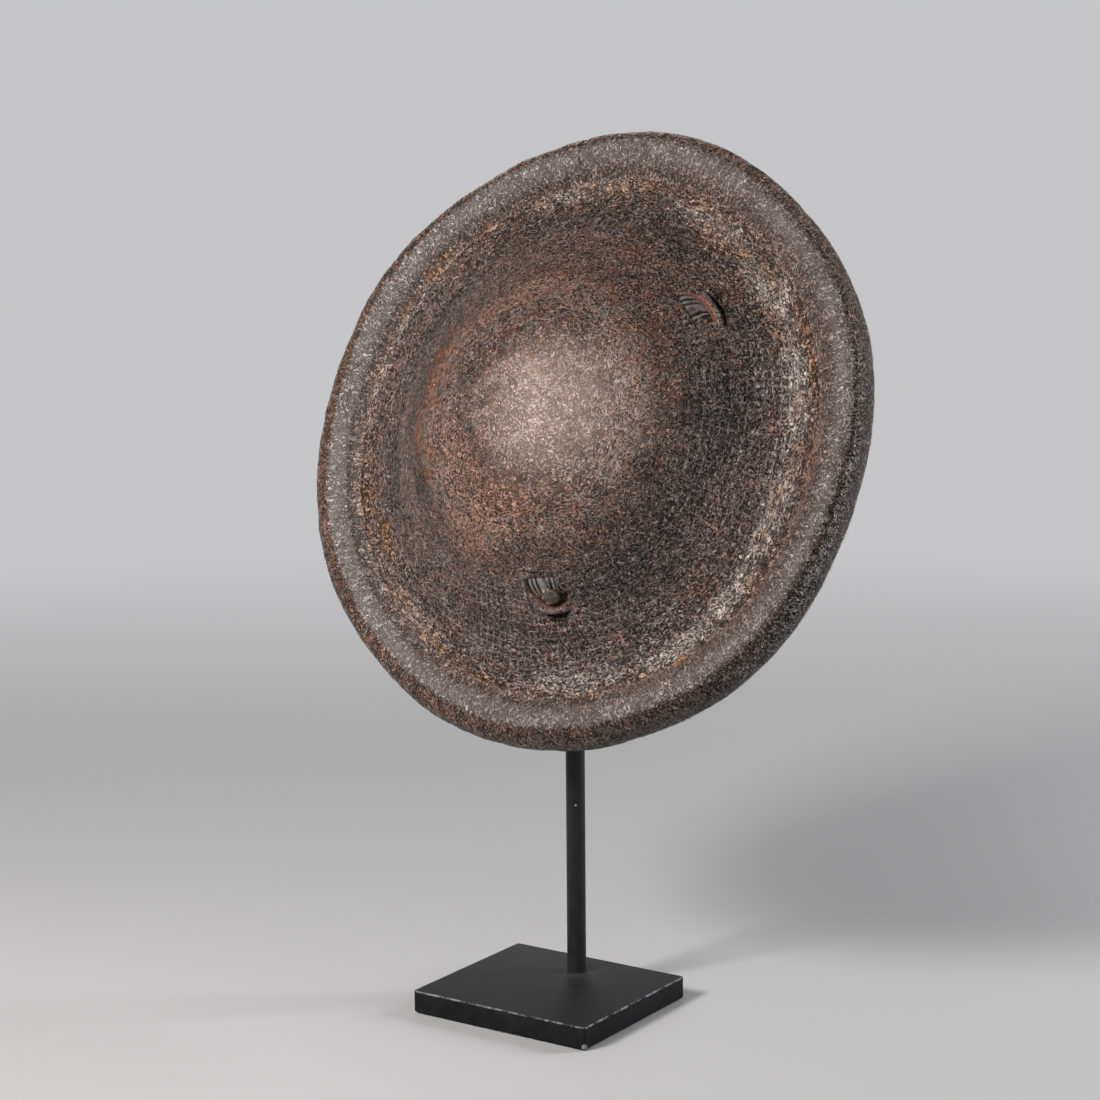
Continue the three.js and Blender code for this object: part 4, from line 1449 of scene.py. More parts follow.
def slot_masks(local, masks):
    """The raw lip of each opening; the bar beside it is added to the mask of the rim and to the crest's
    painted highlight
    """
    raw = np.zeros(len(local))
    for slot in strap_slots.values():
        place = in_slot(local, slot)
        near = near_slot(place)
        ragged = outline_distance(place[:, :2], opening_outline(slot)) + layer("ragged_lip", local)
        lip = step_between(*raw_reach, ragged) * step_between(*raw_side, place[:, 1])
        lip = lip * step_between(*raw_depths, place[:, 2])
        raw = np.maximum(raw, np.where(near, lip * slot["raw_share"], 0))
        middle = slot["width"] / 2 + bridge_width * 0.62
        bar = slit_share(place, slot, 0.5) * hump(place[:, 1], middle, bar_reach)
        bar = bar * step_between(*bar_rise, place[:, 2])
        for name, share in (("rim", 1.0), ("crest", 0.7)):
            masks[name] = np.maximum(masks[name], np.where(near, bar * share, 0))
    return raw


def paint_hide(obj, local):
    """Writes the masks that the hide's material reads"""
    row, depth = get_values(obj, "row"), get_values(obj, "depth")
    angle = np.arctan2(local[:, 1], local[:, 0])
    walls = row < 0
    radius = np.hypot(local[:, 0], local[:, 1]) / settle_share(valley_radius, angle)
    row = np.where(walls, np.interp(radius, line[0, :dome_points], line_length[:dome_points]), row)
    radius = np.interp(row, line_length, line[0])
    roll_angle = np.interp(row, line_length, line[4])
    shake = noise(local, shake_sizes[0], 41) + 0.6 * noise(local, shake_sizes[1], 42)
    front = np.where(walls, 1, 1 - depth / hide_thickness)
    rim, outer, crest = rim_masks(local, radius, angle, roll_angle, shake)

    def patches(table):
        return patch_share(angle, radius, table, shake)

    worn_highlight_away = np.hypot(local[:, 0] - worn_highlight_place[0], local[:, 1] - worn_highlight_place[1])
    # The right side, turned from the key light, where the rim's outer band gets a painted shade
    unlit_side = np.clip(hump(np.degrees(angle), -25, 60) * 1.3, 0, 1)
    masks = {
        "rust": patches(rust_patches),
        "ochre": patches(ochre_patches),
        "red": np.clip(patches(red_patches) + 0.15, 0, 1),
        "warm": patches(warm_patches) * (1 - rim),
        "dark": np.clip(patches(dark_patches) * (1 - rim) + 0.9 * outer * unlit_side, 0, 1),
        "pale": patches(pale_patches) * (1 - rim),
        "rim": rim,
        "outer": outer,
        "bald_highlight": step_between(*bald_highlight_reach, worn_highlight_away + bald_highlight_shake * shake),
        "smooth": np.maximum(step_between(*smooth_reach, worn_highlight_away), 0.2 * rim),
        "crest": crest,
        "middle": step_between(*middle_radii, radius),
        "foot": step_between(*foot_radii, radius),
        "net": net_amount(local, row, angle),
        "hollow_shade": hollow_shade_share(local, radius, angle, roll_angle),
        "back": np.where(walls, 0, step_between(0.35, 0.9, 1 - front)),
    }
    masks["raw"] = np.where(depth >= hide_thickness * 0.99, 0, slot_masks(local, masks))
    for name, values in masks.items():
        set_values(obj, name, values * (front if name not in ("back", "raw") else 1))
    set_vectors(obj, "polar", polar_places(row, angle))
    set_vectors(obj, "inner", polar_places(row, angle, inner_reach))


def build_hide():
    data, faces = hide_rings()
    data, faces = refine_near_slots(data, faces)
    obj = new_object("hide", hide_places(data), faces, shield_frame)
    set_values(obj, "row", data[:, 0])
    set_values(obj, "depth", data[:, 1])
    cutter = slot_cutters()
    set_values(cutter, "row", np.full(len(cutter.data.vertices), -1.0))
    set_values(cutter, "depth", np.zeros(len(cutter.data.vertices)))
    cut_away(obj, [cutter])
    inverse = np.array(shield_frame.inverted())
    local = get_places(obj) @ inverse[:3, :3].T + inverse[:3, 3]
    paint_hide(obj, local)
    dress(obj, "shield", hide_material(), ["hide_shell"], sharp=60 * degree)


# The strap through the hide, its ties and the grip

def back_sag(slot):
    tilt = math.atan(-dome_slope(slot["radius"]))
    curve = (strap_width / 2 + fit_gap + tie_wall) ** 2 * math.sin(tilt) / slot["radius"] / 2
    return curve + slot["radius"] * (1 - math.cos(math.pi / hide_facets))


def turn_point(slot):
    depth = hide_thickness + back_sag(slot) + tie_length + fit_gap * 2 + strap_bend
    return slot_matrix(slot) @ Vector((0, 0, -depth))


upper_turn = turn_point(strap_slots["upper"])
lower_turn = turn_point(strap_slots["lower"])
grip_direction = (lower_turn - upper_turn).normalized()
grip_across = Vector((0, 0, 1)).cross(grip_direction).normalized()
grip_back = grip_across.cross(grip_direction).normalized()
grip_length = (lower_turn - upper_turn).length - (strap_bend + fit_gap) * 2
grip_start = upper_turn + grip_direction * (strap_bend + fit_gap)


def grip_place(distance):
    share = max(0.0, min(1.0, min(distance, grip_length - distance) / grip_ramp))
    behind = grip_bow * (1 - math.cos(math.pi * share)) / 2
    return grip_start + grip_direction * distance + grip_back * behind


# The strap's way through a slot, in the slot's frame and in mm: across the slot's width, out of the hide,
# the strap's width and thickness, how deep its pleats are and how far it sways along the slot
strap_ways = {
    "upper": [
        (9.0, -6.0, 24, 2.2, 0.4, -2), (6.0, -4.4, 26, 2.4, 0.8, -2), (2.5, -3.3, 29, 2.4, 1.0, -3),
        (-1.5, -2.4, 33, 2.6, 1.0, -3), (-5.5, -1.8, 35, 2.6, 0.8, -3), (-8.6, -2.2, 35, 2.6, 0.5, -3),
        (-10.4, -3.7, 32, 2.6, 0.3, -3), (-9.4, -5.3, 27, 2.6, 0.1, -2), (-5, -5.5, 25, 2.6, 0, 0),
        (-1.2, -6.4, 24, 3.0, 0, 0), (0, -9.5, 24, 3.8, 0, 0), (0, -14.5, 24, 4, 0, 0),
    ],
    "lower": [
        (12.5, -6.4, 14, 2.2, 0.3, 1), (8.5, -5.2, 17, 2.4, 0.5, 2.5), (3.5, -4.2, 20, 2.6, 0.8, 4),
        (-2.0, -3.0, 23.5, 2.8, 0.9, 4.5), (-7.5, -2.1, 25.5, 2.8, 0.8, 4), (-12.0, -1.9, 26, 2.8, 0.7, 3.2),
        (-15.4, -3.2, 26, 2.8, 0.5, 3), (-14.8, -5.2, 24, 2.6, 0.2, 2), (-9, -5.4, 24, 2.6, 0, 0),
        (-4, -5.6, 24, 2.8, 0, 0), (-0.8, -7.6, 24, 3.4, 0, 0), (0, -10.5, 24, 3.9, 0, 0),
        (0, -15.0, 24, 4, 0, 0),
    ],
}

# The way of the strap's cut end in the slot's frame, with its width and height, in mm
tip_ways = {
    "upper": [
        (8.6, -5.4, -1.6, 5, 2.2), (10.3, -1.6, -1.2, 7, 2.6), (11.6, 2.4, -1.7, 7, 2.6),
        (12, 5.4, -2.8, 5, 2),
    ],
    "lower": [
        (6.5, -3.0, -1.9, 9, 4), (3.5, 1.2, -1.1, 13.5, 5), (0, 5.4, -1.3, 14.5, 5), (-3.0, 9.6, -2.8, 10, 4),
    ],
}


def curve_points(stations, step):
    """Points about a step apart on a smooth curve through rows of numbers that start with a place"""
    stations = np.array(stations, float)
    ends = np.vstack([2 * stations[0] - stations[1], stations, 2 * stations[-1] - stations[-2]])
    rows = []
    for i in range(1, len(ends) - 2):
        a, b, c, d = ends[i - 1 : i + 3]
        count = max(2, round(np.linalg.norm(c[:3] - b[:3]) / step))
        for k in range(count):
            t = k / count
            second, third = 2 * a - 5 * b + 4 * c - d, 3 * b - a - 3 * c + d
            rows.append(0.5 * (2 * b + (c - a) * t + second * t**2 + third * t**3))
    rows.append(stations[-1])
    return np.array(rows)


def strap_stations(slot_name, matrix, turn, onward, from_start):
    """Rows of place, width, thickness, pleat and turn share from the slot to the grip's middle"""
    stations = []
    for across, out, width, thickness, pleat, sway in strap_ways[slot_name]:
        place = matrix @ (Vector((sway, across, out)) * mm)
        stations.append([*place, width * mm, thickness * mm, pleat * mm, 0.0])
    inward = (matrix.to_3x3() @ Vector((0, 0, -1))).normalized()
    before, after = turn - inward * strap_bend, turn + onward * strap_bend
    for i in range(bend_steps + 1):
        share = i / bend_steps
        stations.append([*bend_point(before, turn, after, share), strap_width, strap_thickness, 0.0, share])
    for i in range(1, grip_steps + 1):
        distance = grip_length / 2 * i / grip_steps - strap_end_gap * (i == grip_steps)
        place = grip_place(distance if from_start else grip_length - distance)
        stations.append([*place, strap_width, strap_thickness, 0.0, 1.0])
    return stations


def build_strap(name, slot_name, turn, onward, from_start, nodes, material):
    """Half of the strap: its pleated end, the shank through the hide and its way to the grip's middle"""
    matrix = slot_matrix(strap_slots[slot_name])
    slot_across = (matrix.to_3x3() @ Vector((1, 0, 0))).normalized()
    end_across = grip_across * (1 if grip_across.dot(slot_across) > 0 else -1)
    rows = curve_points(strap_stations(slot_name, matrix, turn, onward, from_start), strap_step)
    places = [Vector(row[:3]) for row in rows]
    frames = []
    for place, run, row in zip(places, path_runs(places), rows):
        side = slot_across.lerp(end_across, row[6])
        side = (side - run * side.dot(run)).normalized()
        frames.append((place, side, run.cross(side)))
    # dip: depth in a pleat's hollow, read for the leather's painted highlight and painted shade; raised where
    # there are no pleats, so no highlight is painted there
    dips = []

    def section(i):
        width, thickness, pleat = rows[i][3:6]
        end = min(1.0, (i + 0.4) / 3)
        plain = 0.3 * max(0.0, 1 - 2 * pleat / mm)
        points = []
        for k in range(strap_sides):
            u, v = squared_point(math.tau * k / strap_sides, 0.5, 0.6)
            wave = math.sin(math.pi * pleat_count * (u + 0.05 * math.sin(5 * u)) + 0.9 * math.sin(i * 0.11))
            fold = pleat * (1 - 2 * abs(wave) ** 1.5 if wave < 0 else 1) * (1 - u**6) - pleat * (1 - u**6)
            dips.append(-fold / mm + plain)
            points.append((u * width / 2, v * thickness / 2 * end + fold))
        return points

    obj = sweep(name, frames, section)
    set_values(obj, "dip", dips)
    points = get_places(obj)
    push_out(obj, layer("strap", points) + layer("small_strap", points))
    obj.data.transform(shield_frame)
    dress(obj, None, material, nodes)
    start, end = (shield_frame @ (turn + onward * reach) for reach in soft_reaches)
    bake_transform(obj)
    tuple(start)
    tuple(end)


def build_strap_tip(name, slot_name, material):
    """The rough cut end of the strap, folded up in the opening: a lump through places in the slot"""
    rows = curve_points(np.array(tip_ways[slot_name]) * mm, tip_step)
    points = [Vector(row[:3]) for row in rows]
    frames = []
    for point, run in zip(points, path_runs(points)):
        across = run.cross(Vector((0, 0, 1))).normalized()
        frames.append((point, across, across.cross(run)))

    def section(i):
        width, height = rows[i][3:5]
        end = math.sqrt(max(0.12, 1 - abs(2 * i / (len(rows) - 1) - 1) ** 5))
        squared = [squared_point(math.tau * k / tip_sides, 0.7, 0.8) for k in range(tip_sides)]
        return [(u * width / 2 * end, v * height / 2 * end) for u, v in squared]

    obj = sweep(name, frames, section)
    local = get_places(obj)
    relief = layer("tip", local) + layer("small_tip", local)
    # dip: the tip's crevices, which get painted shade, and its ridges, which get a painted highlight
    set_values(obj, "dip", 0.5 - 1.5 * relief / mm)
    push_out(obj, relief)
    obj.data.transform(shield_frame @ slot_matrix(strap_slots[slot_name]))
    dress(obj, "shield", material)


# The thong's tucked end over the turns: x and standout, the height that it starts from and its rise, in mm
hitch_places = [
    (-7, -1.0, "low", 0), (-4, 0, "low", 1), (0, 0.3, "middle", 0), (4.5, 0, "high", -1),
    (8, -0.8, "high", 0),
]


def tie_winding(top):
    """The thong's path round the strap, down from the hide's back"""
    pitch = (tie_length - 2 * tie_thong_radius) / tie_turns
    points = []
    for i in range(tie_turns * tie_steps + 1):
        turn = math.tau * i / tie_steps
        u, v = squared_point(turn, 0.45, 0.45)
        slack = 1.0 + 0.05 * math.sin(turn * 0.5)
        x = (strap_width / 2 + fit_gap + tie_thong_radius) * slack * u
        y = (strap_thickness / 2 + fit_gap + tie_thong_radius) * slack * v
        points.append(Vector((x, y, top - pitch * i / tie_steps)))
    return points


def build_tie(name, slot_name, node, material):
    """A few turns of thong round the strap behind the hide, with its two ends tucked over the turns"""
    slot = strap_slots[slot_name]
    high = -hide_thickness - fit_gap - back_sag(slot) - tie_thong_radius
    low = high - tie_length + 2 * tie_thong_radius
    face = strap_thickness / 2 + fit_gap + 3 * tie_thong_radius
    tubes = [round_tube(f"{name}_turns", tie_winding(high), tie_thong_radius, 10, 0.1)]
    heights = {"low": low, "middle": (low + high) / 2, "high": high}
    hitch = [(x * mm, face + out * mm, heights[at] + rise * mm) for x, out, at, rise in hitch_places]
    points = [Vector(row) for row in curve_points(hitch, hitch_step)]
    tubes.append(round_tube(f"{name}_hitch", points, tie_thong_radius))
    obj = join_objects(tubes, name)
    obj.data.transform(shield_frame @ slot_matrix(slot))
    dress(obj, "shield", material, [node])


def build_wrap(material):
    """A leather strip wound round the strap: each turn's edge lies over the turn before"""
    width = strap_width + fit_gap * 2 + wrap_wall * 2
    height = strap_thickness + fit_gap * 2 + wrap_wall * 2
    middle = grip_place(grip_length / 2)
    face = grip_direction.cross(grip_across)
    frames = []
    for i in range(wrap_rows + 1):
        away = wrap_length * (i / wrap_rows - 0.5)
        frames.append((middle + grip_direction * away, grip_across, face))

    def section(i):
        along = i / wrap_rows
        draw = wrap_draw * math.exp(-min(along, 1 - along) * wrap_length / wrap_draw_reach)
        points = []
        for k in range(wrap_sides):
            share = k / wrap_sides
            u, v = squared_point(math.tau * share, 0.5, 0.5)
            phase = (along * wrap_turns - share) % 1.0
            lap = -wrap_lap * (1 - phase) - wrap_edge_drop * math.exp(-phase / 0.05)
            off = lap + wrap_softness * math.sin(7 * share * math.tau + 5 * along) - draw
            points.append((u * (width / 2 + off), v * (height / 2 + off)))
        return points

    obj = sweep("grip_binding", frames, section)
    push_out(obj, layer("wrap", get_places(obj)))
    obj.data.transform(shield_frame)
    dress(obj, "grip", material, ["grip_wrap"])


def hair_rings(dice):
    """Rings of points along one hair, in the shield's frame"""
    angle = math.radians(dice.normal(-22, 34))
    roll = math.radians(dice.uniform(-35, 52))
    length = dice.uniform(*hair_lengths)
    lean = dice.uniform(-1, 1)
    out = np.array([math.cos(roll), 0, math.sin(roll)])
    radius = roll_centre[0] + (roll_radius - hair_root) * math.cos(roll)
    height = roll_centre[1] + roll_radius * math.sin(roll)
    base = np.array([radius * settle_share(radius, angle), 0, height])
    along = np.array([-math.sin(roll), 0, math.cos(roll)]) * lean + np.array([0, dice.choice([-1, 1]), 0])
    along = along / np.linalg.norm(along)
    bend = dice.uniform(0.12, 0.30)
    turn = Matrix.Rotation(angle, 3, "Z")
    normal, side = turn @ Vector(out), turn @ Vector(np.cross(out, along))
    rings = []
    for i in range(hair_steps + 1):
        t = i / hair_steps
        lift = math.sin(math.pi * t * 0.55) * bend * length - (length * t) ** 2 / (2 * roll_radius) * 0.8
        centre = turn @ Vector(base + along * length * t + out * lift)
        corners = [circle_point(math.tau * k / 3, hair_radius * (1 - 0.75 * t)) for k in range(3)]
        rings.append([centre + normal * x + side * y for x, y in corners])
    return rings


def build_hairs(material):
    """Fine hairs left on the outer side of the roll, densest on the right and lower right"""
    dice = np.random.default_rng(7)
    mesh = bmesh.new()
    for _ in range(hair_count):
        rings = [[mesh.verts.new(point) for point in ring] for ring in hair_rings(dice)]
        for low, high in zip(rings, rings[1:]):
            for k in range(3):
                mesh.faces.new((low[k], low[(k + 1) % 3], high[(k + 1) % 3], high[k]))
        mesh.faces.new(reversed(rings[0]))
        mesh.faces.new(rings[-1])
    bmesh.ops.recalc_face_normals(mesh, faces=mesh.faces)
    data = bpy.data.meshes.new("rim_hairs")
    mesh.to_mesh(data)
    mesh.free()
    data.transform(shield_frame)
    dress(add_to_scene("rim_hairs", data), "shield", material)


# The stand

def rounded_rectangle(width, depth, corner, steps=8):
    points = []
    for quarter, (x, y) in enumerate(((1, -1), (1, 1), (-1, 1), (-1, -1))):
        for k in range(steps + 1):
            along, up = circle_point(math.pi / 2 * (quarter - 1 + k / steps), corner)
            points.append((x * (width / 2 - corner) + along, y * (depth / 2 - corner) + up))
    return points


def rounded_block(name, outline_at, bottom, top, edge, steps=4):
    """A block whose outline is drawn in by outline_at(margin) on round top and bottom edges"""
    levels = []
    for i in range(steps + 1):
        turn = math.pi / 2 * i / steps
        levels.append((edge * (1 - math.sin(turn)), bottom + edge * (1 - math.cos(turn))))
    levels += [(margin, bottom + top - height) for margin, height in reversed(levels)]
    return ring_skin(name, [[(x, y, height) for x, y in outline_at(margin)] for margin, height in levels])


def chamfered_rod(name, radius, length, chamfer, segments, matrix=None):
    """A rod up Z from the origin with both its ends chamfered"""
    outline = [
        (0, 0), (radius - chamfer, 0), (radius, chamfer),
        (radius, length - chamfer), (radius - chamfer, length), (0, length),
    ]
    return turned(name, outline, segments, matrix)


def rod_cutter(radius, bottom, top, matrix, segments=64):
    outline = [(0, bottom), (radius, bottom), (radius, top), (0, top)]
    return turned("rod_cutter", outline, segments, matrix)


on_post = Matrix.Translation((0, post_place, 0))
look_forward = Matrix.Rotation(math.pi / 2, 4, "X")
look_back = Matrix.Rotation(-math.pi / 2, 4, "X")


def plate_outline(margin, inset=0):
    width, depth = (size - 2 * (inset + margin) for size in (plate_width, plate_depth))
    return rounded_rectangle(width, depth, plate_corner_radius - margin)


def felt_outline(margin):
    return plate_outline(margin, felt_inset)


def build_base(paint, steel, felt):
    head_bottom = felt_thickness + fit_gap
    head_top = felt_thickness + screw_head_height + fit_gap
    screw_top = plate_top + screw_grip
    head_chamfer = post_chamfer / 2
    plate = rounded_block("plate", plate_outline, felt_thickness, plate_top, plate_edge)
    cut_away(plate, [
        rod_cutter(screw_head_radius + fit_gap, -hide_thickness, head_top + fit_gap, on_post),
        rod_cutter(screw_radius + fit_gap, felt_thickness, plate_top + hide_thickness, on_post),
    ])
    dress(plate, "stand", paint, ["base_plate"])

    sheet = rounded_block("plate_felt", felt_outline, 0, felt_thickness, sheet_edge, 3)
    hole = rod_cutter(screw_head_radius + fit_gap + felt_inset, -felt_inset, felt_inset * 2, on_post, 48)
    cut_away(sheet, [hole])
    dress(sheet, "stand", felt, ["base_felt"])

    screw = turned("plate_screw", [
        (0, head_bottom), (screw_head_radius - head_chamfer, head_bottom),
        (screw_head_radius, head_bottom + head_chamfer), (screw_head_radius, head_top),
        (screw_radius, head_top), (screw_radius, screw_top - post_chamfer),
        (screw_radius - post_chamfer, screw_top), (0, screw_top),
    ], 64, on_post)
    socket_top = head_bottom + screw_socket_depth
    cut_away(screw, [rod_cutter(screw_socket_radius, head_bottom - fit_gap, socket_top, on_post, 6)])
    dress(screw, "stand", steel, ["base_screw"])


def build_post(paint):
    hole_top = plate_top + screw_grip + fit_gap * 2
    hole = screw_radius + fit_gap
    foot = plate_top + post_foot_chamfer
    straight = post_top - post_chamfer - foot - post_foot_chamfer
    outline = [(0, hole_top), (hole, hole_top), (hole, plate_top)]
    outline += [(post_radius - post_foot_chamfer, plate_top)]
    outline += [(post_radius, foot + straight * i / post_rows) for i in range(post_rows + 1)]
    outline += [(post_radius - post_chamfer, post_top), (0, post_top)]
    dress(turned("post_bar", outline, 72, on_post), "stand", paint, ["post"])


def build_grub(name, node, length, height, steel):
    grub = chamfered_rod(name, grub_radius, length, grub_chamfer, 40)
    cut_away(grub, [rod_cutter(grub_socket_radius, length - grub_socket_depth, length + fit_gap, None, 6)])
    grub.data.transform(Matrix.Translation((0, post_place + post_radius + fit_gap, height)) @ look_back)
    dress(grub, "stand", steel, [node])


def stand_point(x, y, z):
    return shield_frame @ Vector((x, y, z))


facet_sag = shield_radius * (1 - math.cos(math.pi / hide_facets))
hook_felt_radius = hook_rod_radius + fit_gap + felt_wall
hook_depth = -hide_thickness - fit_gap - hook_felt_radius


def hook_tip(x):
    slack = roll_radius - hide_thickness - hook_felt_radius - fit_gap - facet_sag
    reach = math.sqrt(max(0, slack**2 - (hook_depth - roll_centre[1]) ** 2))
    angle = math.atan2(roll_centre[0], abs(x))
    radius = (roll_centre[0] + reach) * out_of_round(math.pi - angle if x < 0 else angle)
    return math.sqrt(radius**2 - x**2)


def bent_path(corners, bend, step):
    """Points on a path through corners, each rounded off from a distance before it to as far after it"""
    points = [corners[0]]
    for i in range(1, len(corners) - 1):
        corner = corners[i]
        before = corner + (corners[i - 1] - corner).normalized() * bend
        after = corner + (corners[i + 1] - corner).normalized() * bend
        points += straight_points(points[-1], before, step)
        points += [bend_point(before, corner, after, k / 10) for k in range(1, 11)]
    return points + straight_points(points[-1], corners[-1], step)


def straight_points(start, end, step):
    count = max(1, round((end - start).length / step))
    return [start.lerp(end, i / count) for i in range(1, count + 1)]


def felt_cap(name, node, rod_radius, radius, length, is_round, matrix, felt):
    """A felt cap over a rod's end at the origin, which comes up Z"""
    inner = rod_radius + fit_gap
    start = cap_edge - length
    outline = [(0, fit_gap), (inner, fit_gap), (inner, -length), (radius - cap_edge, -length)]
    outline += [(radius, start + (length - cap_edge) * i / cap_rows) for i in range(cap_rows)]
    if is_round:
        outline += [circle_point(i * math.pi / 16, radius) for i in range(8)]
        outline += [(0, radius)]
    else:
        top = radius - inner
        outline += [(radius, top - cap_round), (radius - cap_round, top), (0, top)]
    cap = turned(name, outline, 40)
    points = get_places(cap)
    outer = step_between(inner + cap_roughness_start, radius * 0.9, np.hypot(points[:, 0], points[:, 1]))
    outer = np.maximum(outer, points[:, 2] > cap_roughness_height)
    push_out(cap, (layer("felt", points) - cap_draw) * outer)
    cap.data.transform(matrix)
    dress(cap, "stand", felt, [node])


def head_outline(margin):
    return rounded_rectangle(head_width - 2 * margin, head_width - 2 * margin, block_corner_radius, 4)


def build_head(cross_height, paint, steel):
    bottom = post_top - head_bore
    grub_height = post_top - head_bore / 2
    block = rounded_block("head_block", head_outline, bottom, bottom + head_height, block_edge)
    block.data.transform(on_post)
    across = Matrix.Translation((0, post_place, cross_height)) @ Matrix.Rotation(math.pi / 2, 4, "Y")
    behind = Matrix.Translation((0, post_place, grub_height)) @ look_back
    cut_away(block, [
        rod_cutter(post_radius + fit_gap, bottom - head_bore, post_top + fit_gap, on_post),
        rod_cutter(hook_rod_radius + fit_gap, -head_width, head_width, across, 40),
        rod_cutter(grub_radius + fit_gap, 0, head_width, behind, 40),
    ])
    dress(block, "stand", paint, ["hanger_head"])
    grub_length = head_width / 2 - post_radius + grub_standout
    build_grub("head_grub", "head_grub_screw", grub_length, grub_height, steel)


def build_hanger(paint, steel, felt):
    cross_height = post_top + (head_height - head_bore) / 2
    build_head(cross_height, paint, steel)
    sides = []
    for side in (-1, 1):
        x = side * hook_spacing / 2
        knee = Vector((side * (head_width / 2 + hook_standout + hook_bend), post_place, cross_height))
        root, tip = (stand_point(x, hook_tip(x) - back, hook_depth) for back in (hook_run, 0))
        sides.append((knee, root, tip))
    corners = [*reversed(sides[0]), *sides[1]]
    fork = round_tube("fork_rod", bent_path(corners, hook_bend, fork_step), hook_rod_radius, 24)
    dress(fork, "stand", paint, ["hanger_fork"])
    for (_, root, tip), side in zip(sides, ("left", "right")):
        turn = (tip - root).normalized().to_track_quat("Z", "Y").to_matrix().to_4x4()
        felt_cap(
            f"{side}_felt_cap", f"{side}_hook_felt", hook_rod_radius, hook_felt_radius,
            hook_felt_length, True, Matrix.Translation(tip) @ turn, felt,
        )


def build_collar(height, paint, steel):
    bore, outside = post_radius + fit_gap, post_radius + fit_gap + collar_wall
    low, high = height - collar_height / 2, height + collar_height / 2
    collar = turned("collar", [
        (bore, low), (outside - rod_chamfer, low), (outside, low + rod_chamfer),
        (outside, high - rod_chamfer), (outside - rod_chamfer, high), (bore, high), (bore, low),
    ], 72, on_post)
    centre = Matrix.Translation((0, post_place, height))
    cut_away(collar, [
        rod_cutter(radius + fit_gap, 0, outside * 1.2, centre @ turn, 40)
        for radius, turn in ((stop_rod_radius, look_forward), (grub_radius, look_back))
    ])
    dress(collar, "stand", paint, ["stop_collar"])
    build_grub("collar_grub", "collar_grub_screw", collar_wall + grub_standout, height, steel)


def build_stop(paint, steel, felt):
    lip_reach = (roll_centre[0] + roll_radius * math.cos(lip_angle)) * out_of_round(-math.pi / 2)
    lip_corner = stand_point(0, -lip_reach, roll_centre[1] + roll_radius * math.sin(lip_angle))
    height = lip_corner.z
    build_collar(height, paint, steel)
    tip = lip_corner.y + fit_gap + stop_felt_wall
    start = post_place - post_radius - fit_gap * 2
    place = Matrix.Translation((0, start, height)) @ look_forward
    bar = chamfered_rod("stop_bar", stop_rod_radius, start - tip, rod_chamfer, 48, place)
    dress(bar, "stand", paint, ["stop_rod"])
    felt_radius = stop_rod_radius + fit_gap + stop_felt_wall
    felt_cap(
        "stop_felt_cap", "stop_felt", stop_rod_radius, felt_radius, stop_felt_length, False,
        Matrix.Translation((0, tip, height)) @ look_forward, felt,
    )


# Camera, light, floor and background

def add_camera():
    back = Vector((
        math.sin(camera_azimuth) * math.cos(camera_elevation),
        -math.cos(camera_azimuth) * math.cos(camera_elevation),
        math.sin(camera_elevation),
    ))
    right = Vector((math.cos(camera_azimuth), math.sin(camera_azimuth), 0))
    up = back.cross(right)
    side = right * math.cos(camera_roll) + up * math.sin(camera_roll)
    data = bpy.data.cameras.new("camera")
    data.lens = camera_lens
    data.sensor_width = sensor_width
    data.clip_start = clip_start
    data.clip_end = clip_end
    camera = add_to_scene("camera", data)
    turn = Matrix((side, back.cross(side), back)).transposed().to_4x4()
    camera.matrix_world = Matrix.Translation(camera_target + back * camera_distance) @ turn
    bpy.context.scene.camera = camera


def add_lamp(name, place, aim, size, power, colour=(1, 1, 1)):
    data = bpy.data.lights.new(name, "AREA")
    data.shape = "RECTANGLE"
    data.size, data.size_y = size
    data.energy = power
    data.color = colour
    place, aim = Vector(place), Vector(aim)
    turn = (place - aim).to_track_quat("Z", "Y").to_matrix().to_4x4()
    add_to_scene(name, data).matrix_world = Matrix.Translation(place) @ turn


def seen_rays(s):
    """1 for rays of the camera, of reflections and of glass"""
    path = s.node("ShaderNodeLightPath").outputs
    return s.most(s.most(path["Is Camera Ray"], path["Is Glossy Ray"]), path["Is Transmission Ray"])


def add_world():
    """A pale backdrop near the horizon under a dark ceiling, and a weak even light from all round"""
    world = bpy.data.worlds.new("studio")
    bpy.context.scene.world = world
    world.use_nodes = True
    s = Nodes(world.node_tree)
    back = s.tree.nodes["Background"]
    back.inputs["Color"].default_value = (*ambient_colour, 1)
    rise = s.step(s.axes(s.places("Generated"))[2], *ceiling_heights)
    shown = s.node("ShaderNodeBackground", {"Color": s.mix(rise, background_colour, ceiling_colour)})
    s.mix_shaders(seen_rays(s), back, shown, "World Output")


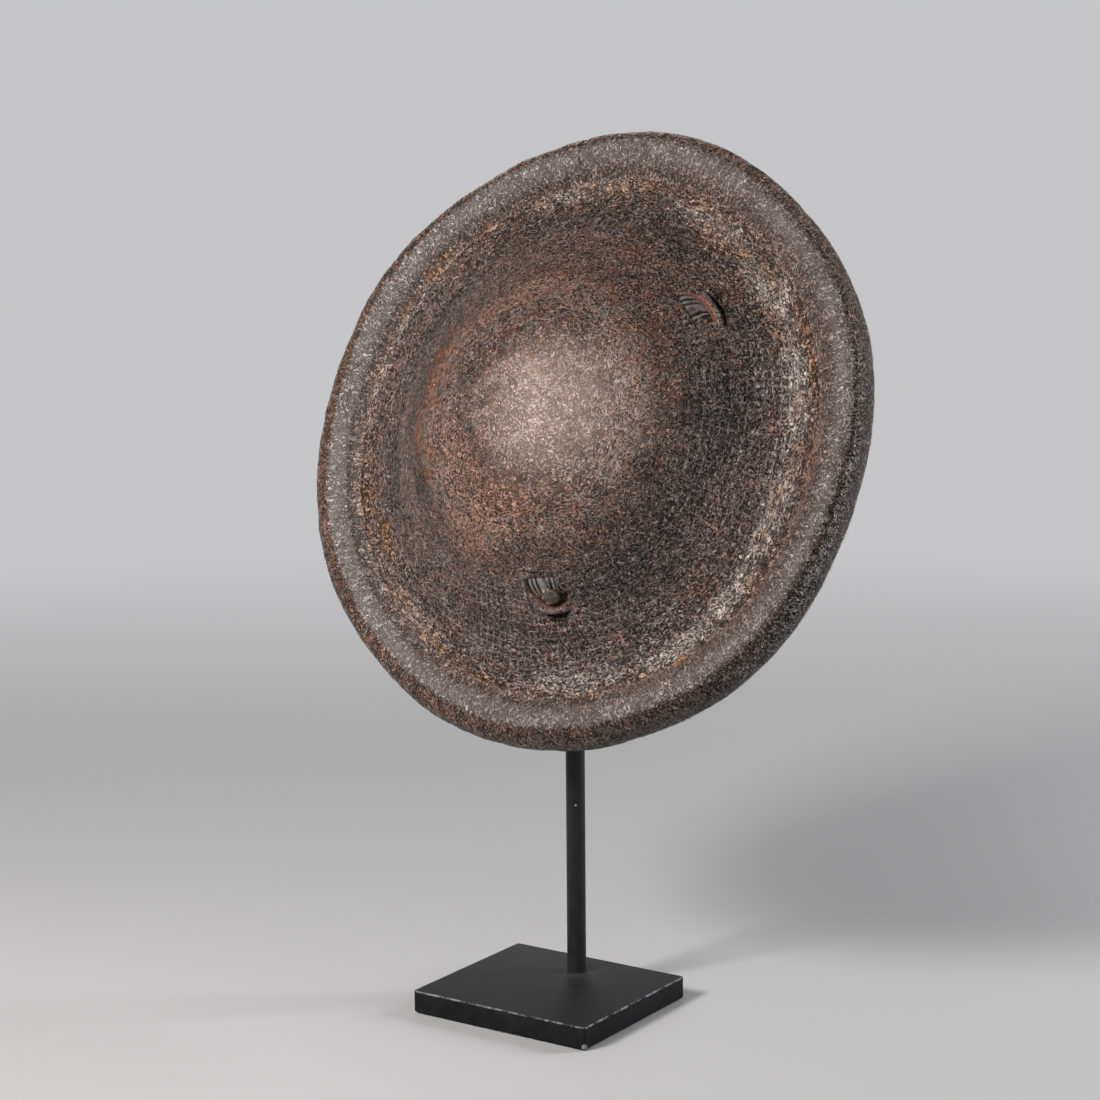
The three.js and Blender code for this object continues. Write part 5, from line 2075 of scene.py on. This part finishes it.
def add_floor():
    """A wide floor that turns into the background's colour far from the object"""
    corners = [(-floor_reach, -floor_reach), (floor_reach, -floor_reach), (floor_reach, floor_reach)]
    corners += [(-floor_reach, floor_reach)]
    floor = new_object("floor", [(x, y, 0) for x, y in corners], [(0, 1, 2, 3)])
    s = Surface("floor_paint")
    seen = seen_rays(s)
    s.set(Base_Color=s.mix(seen, floor_bounce_colour, floor_colour), Roughness=0.9, Specular_IOR_Level=0.0)
    away = s.node("ShaderNodeVectorMath", {0: s.places()}, operation="LENGTH").outputs["Value"]
    glow = s.node("ShaderNodeEmission", {"Color": (*background_colour, 1)})
    s.mix_shaders(s.times(s.step(away, *floor_fade), seen), s.shader, glow, "Material Output")
    floor.data.materials.append(s.material)
    floor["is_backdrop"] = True


def add_lights():
    add_lamp("key", (-0.47, -1.50, 1.28), light_aim, (0.5, 0.5), 37, (1.0, 0.97, 0.94))
    add_lamp("fill", (1.5, -1.9, 0.7), light_aim, (1.4, 1.4), 4)
    add_lamp("side", (1.35, 1.15, 0.95), light_aim, (0.35, 1.2), 22)
    add_lamp("behind", (-1.3, 1.7, 1.1), light_aim, (1.0, 1.2), 8)


add_camera()
add_world()
add_floor()
add_lights()

# Tones of the leathers: in cracks, on the whole, and on ridges, where the pale tone is a painted highlight
strap_tones = ((0.032, 0.021, 0.018), (0.085, 0.060, 0.052), (0.36, 0.32, 0.31))
cut_end_tones = ((0.09, 0.055, 0.035), (0.27, 0.18, 0.115), (0.52, 0.40, 0.28))
thong_tones = ((0.05, 0.03, 0.02), (0.19, 0.115, 0.07), (0.34, 0.24, 0.16))
strap = leather_material("strap_leather_with_painted_light", *strap_tones, 0.26)
cut_end = leather_material("cut_leather_with_painted_light", *cut_end_tones, 0.6)
thong = leather_material("thong_leather_with_painted_light", *thong_tones, 0.6)
paint, plate_paint, steel, felt = black_steel(), plate_material(), screw_steel(), felt_material()

build_hide()
upper_nodes, lower_nodes = ["upper_strap_knot", "grip_strap"], ["lower_strap_knot"]
build_strap("upper_strap", "upper", upper_turn, grip_direction, True, upper_nodes, strap)
build_strap("lower_strap", "lower", lower_turn, -grip_direction, False, lower_nodes, strap)
build_strap_tip("lower_strap_tip", "lower", cut_end)
build_strap_tip("upper_strap_tip", "upper", thong)
build_tie("upper_tie_thong", "upper", "upper_thong_tie", thong)
build_tie("lower_tie_thong", "lower", "lower_thong_tie", thong)
build_wrap(thong)
build_hairs(hair_material())
build_base(plate_paint, steel, felt)
build_post(paint)
build_hanger(paint, steel, felt)
build_stop(paint, steel, felt)

bpy.context.scene.view_settings.view_transform = "Standard"

boxes = {"cad": cad_box, "visual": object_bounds()}
{name: [[float(v) for v in corner] for corner in box] for name, box in boxes.items()}
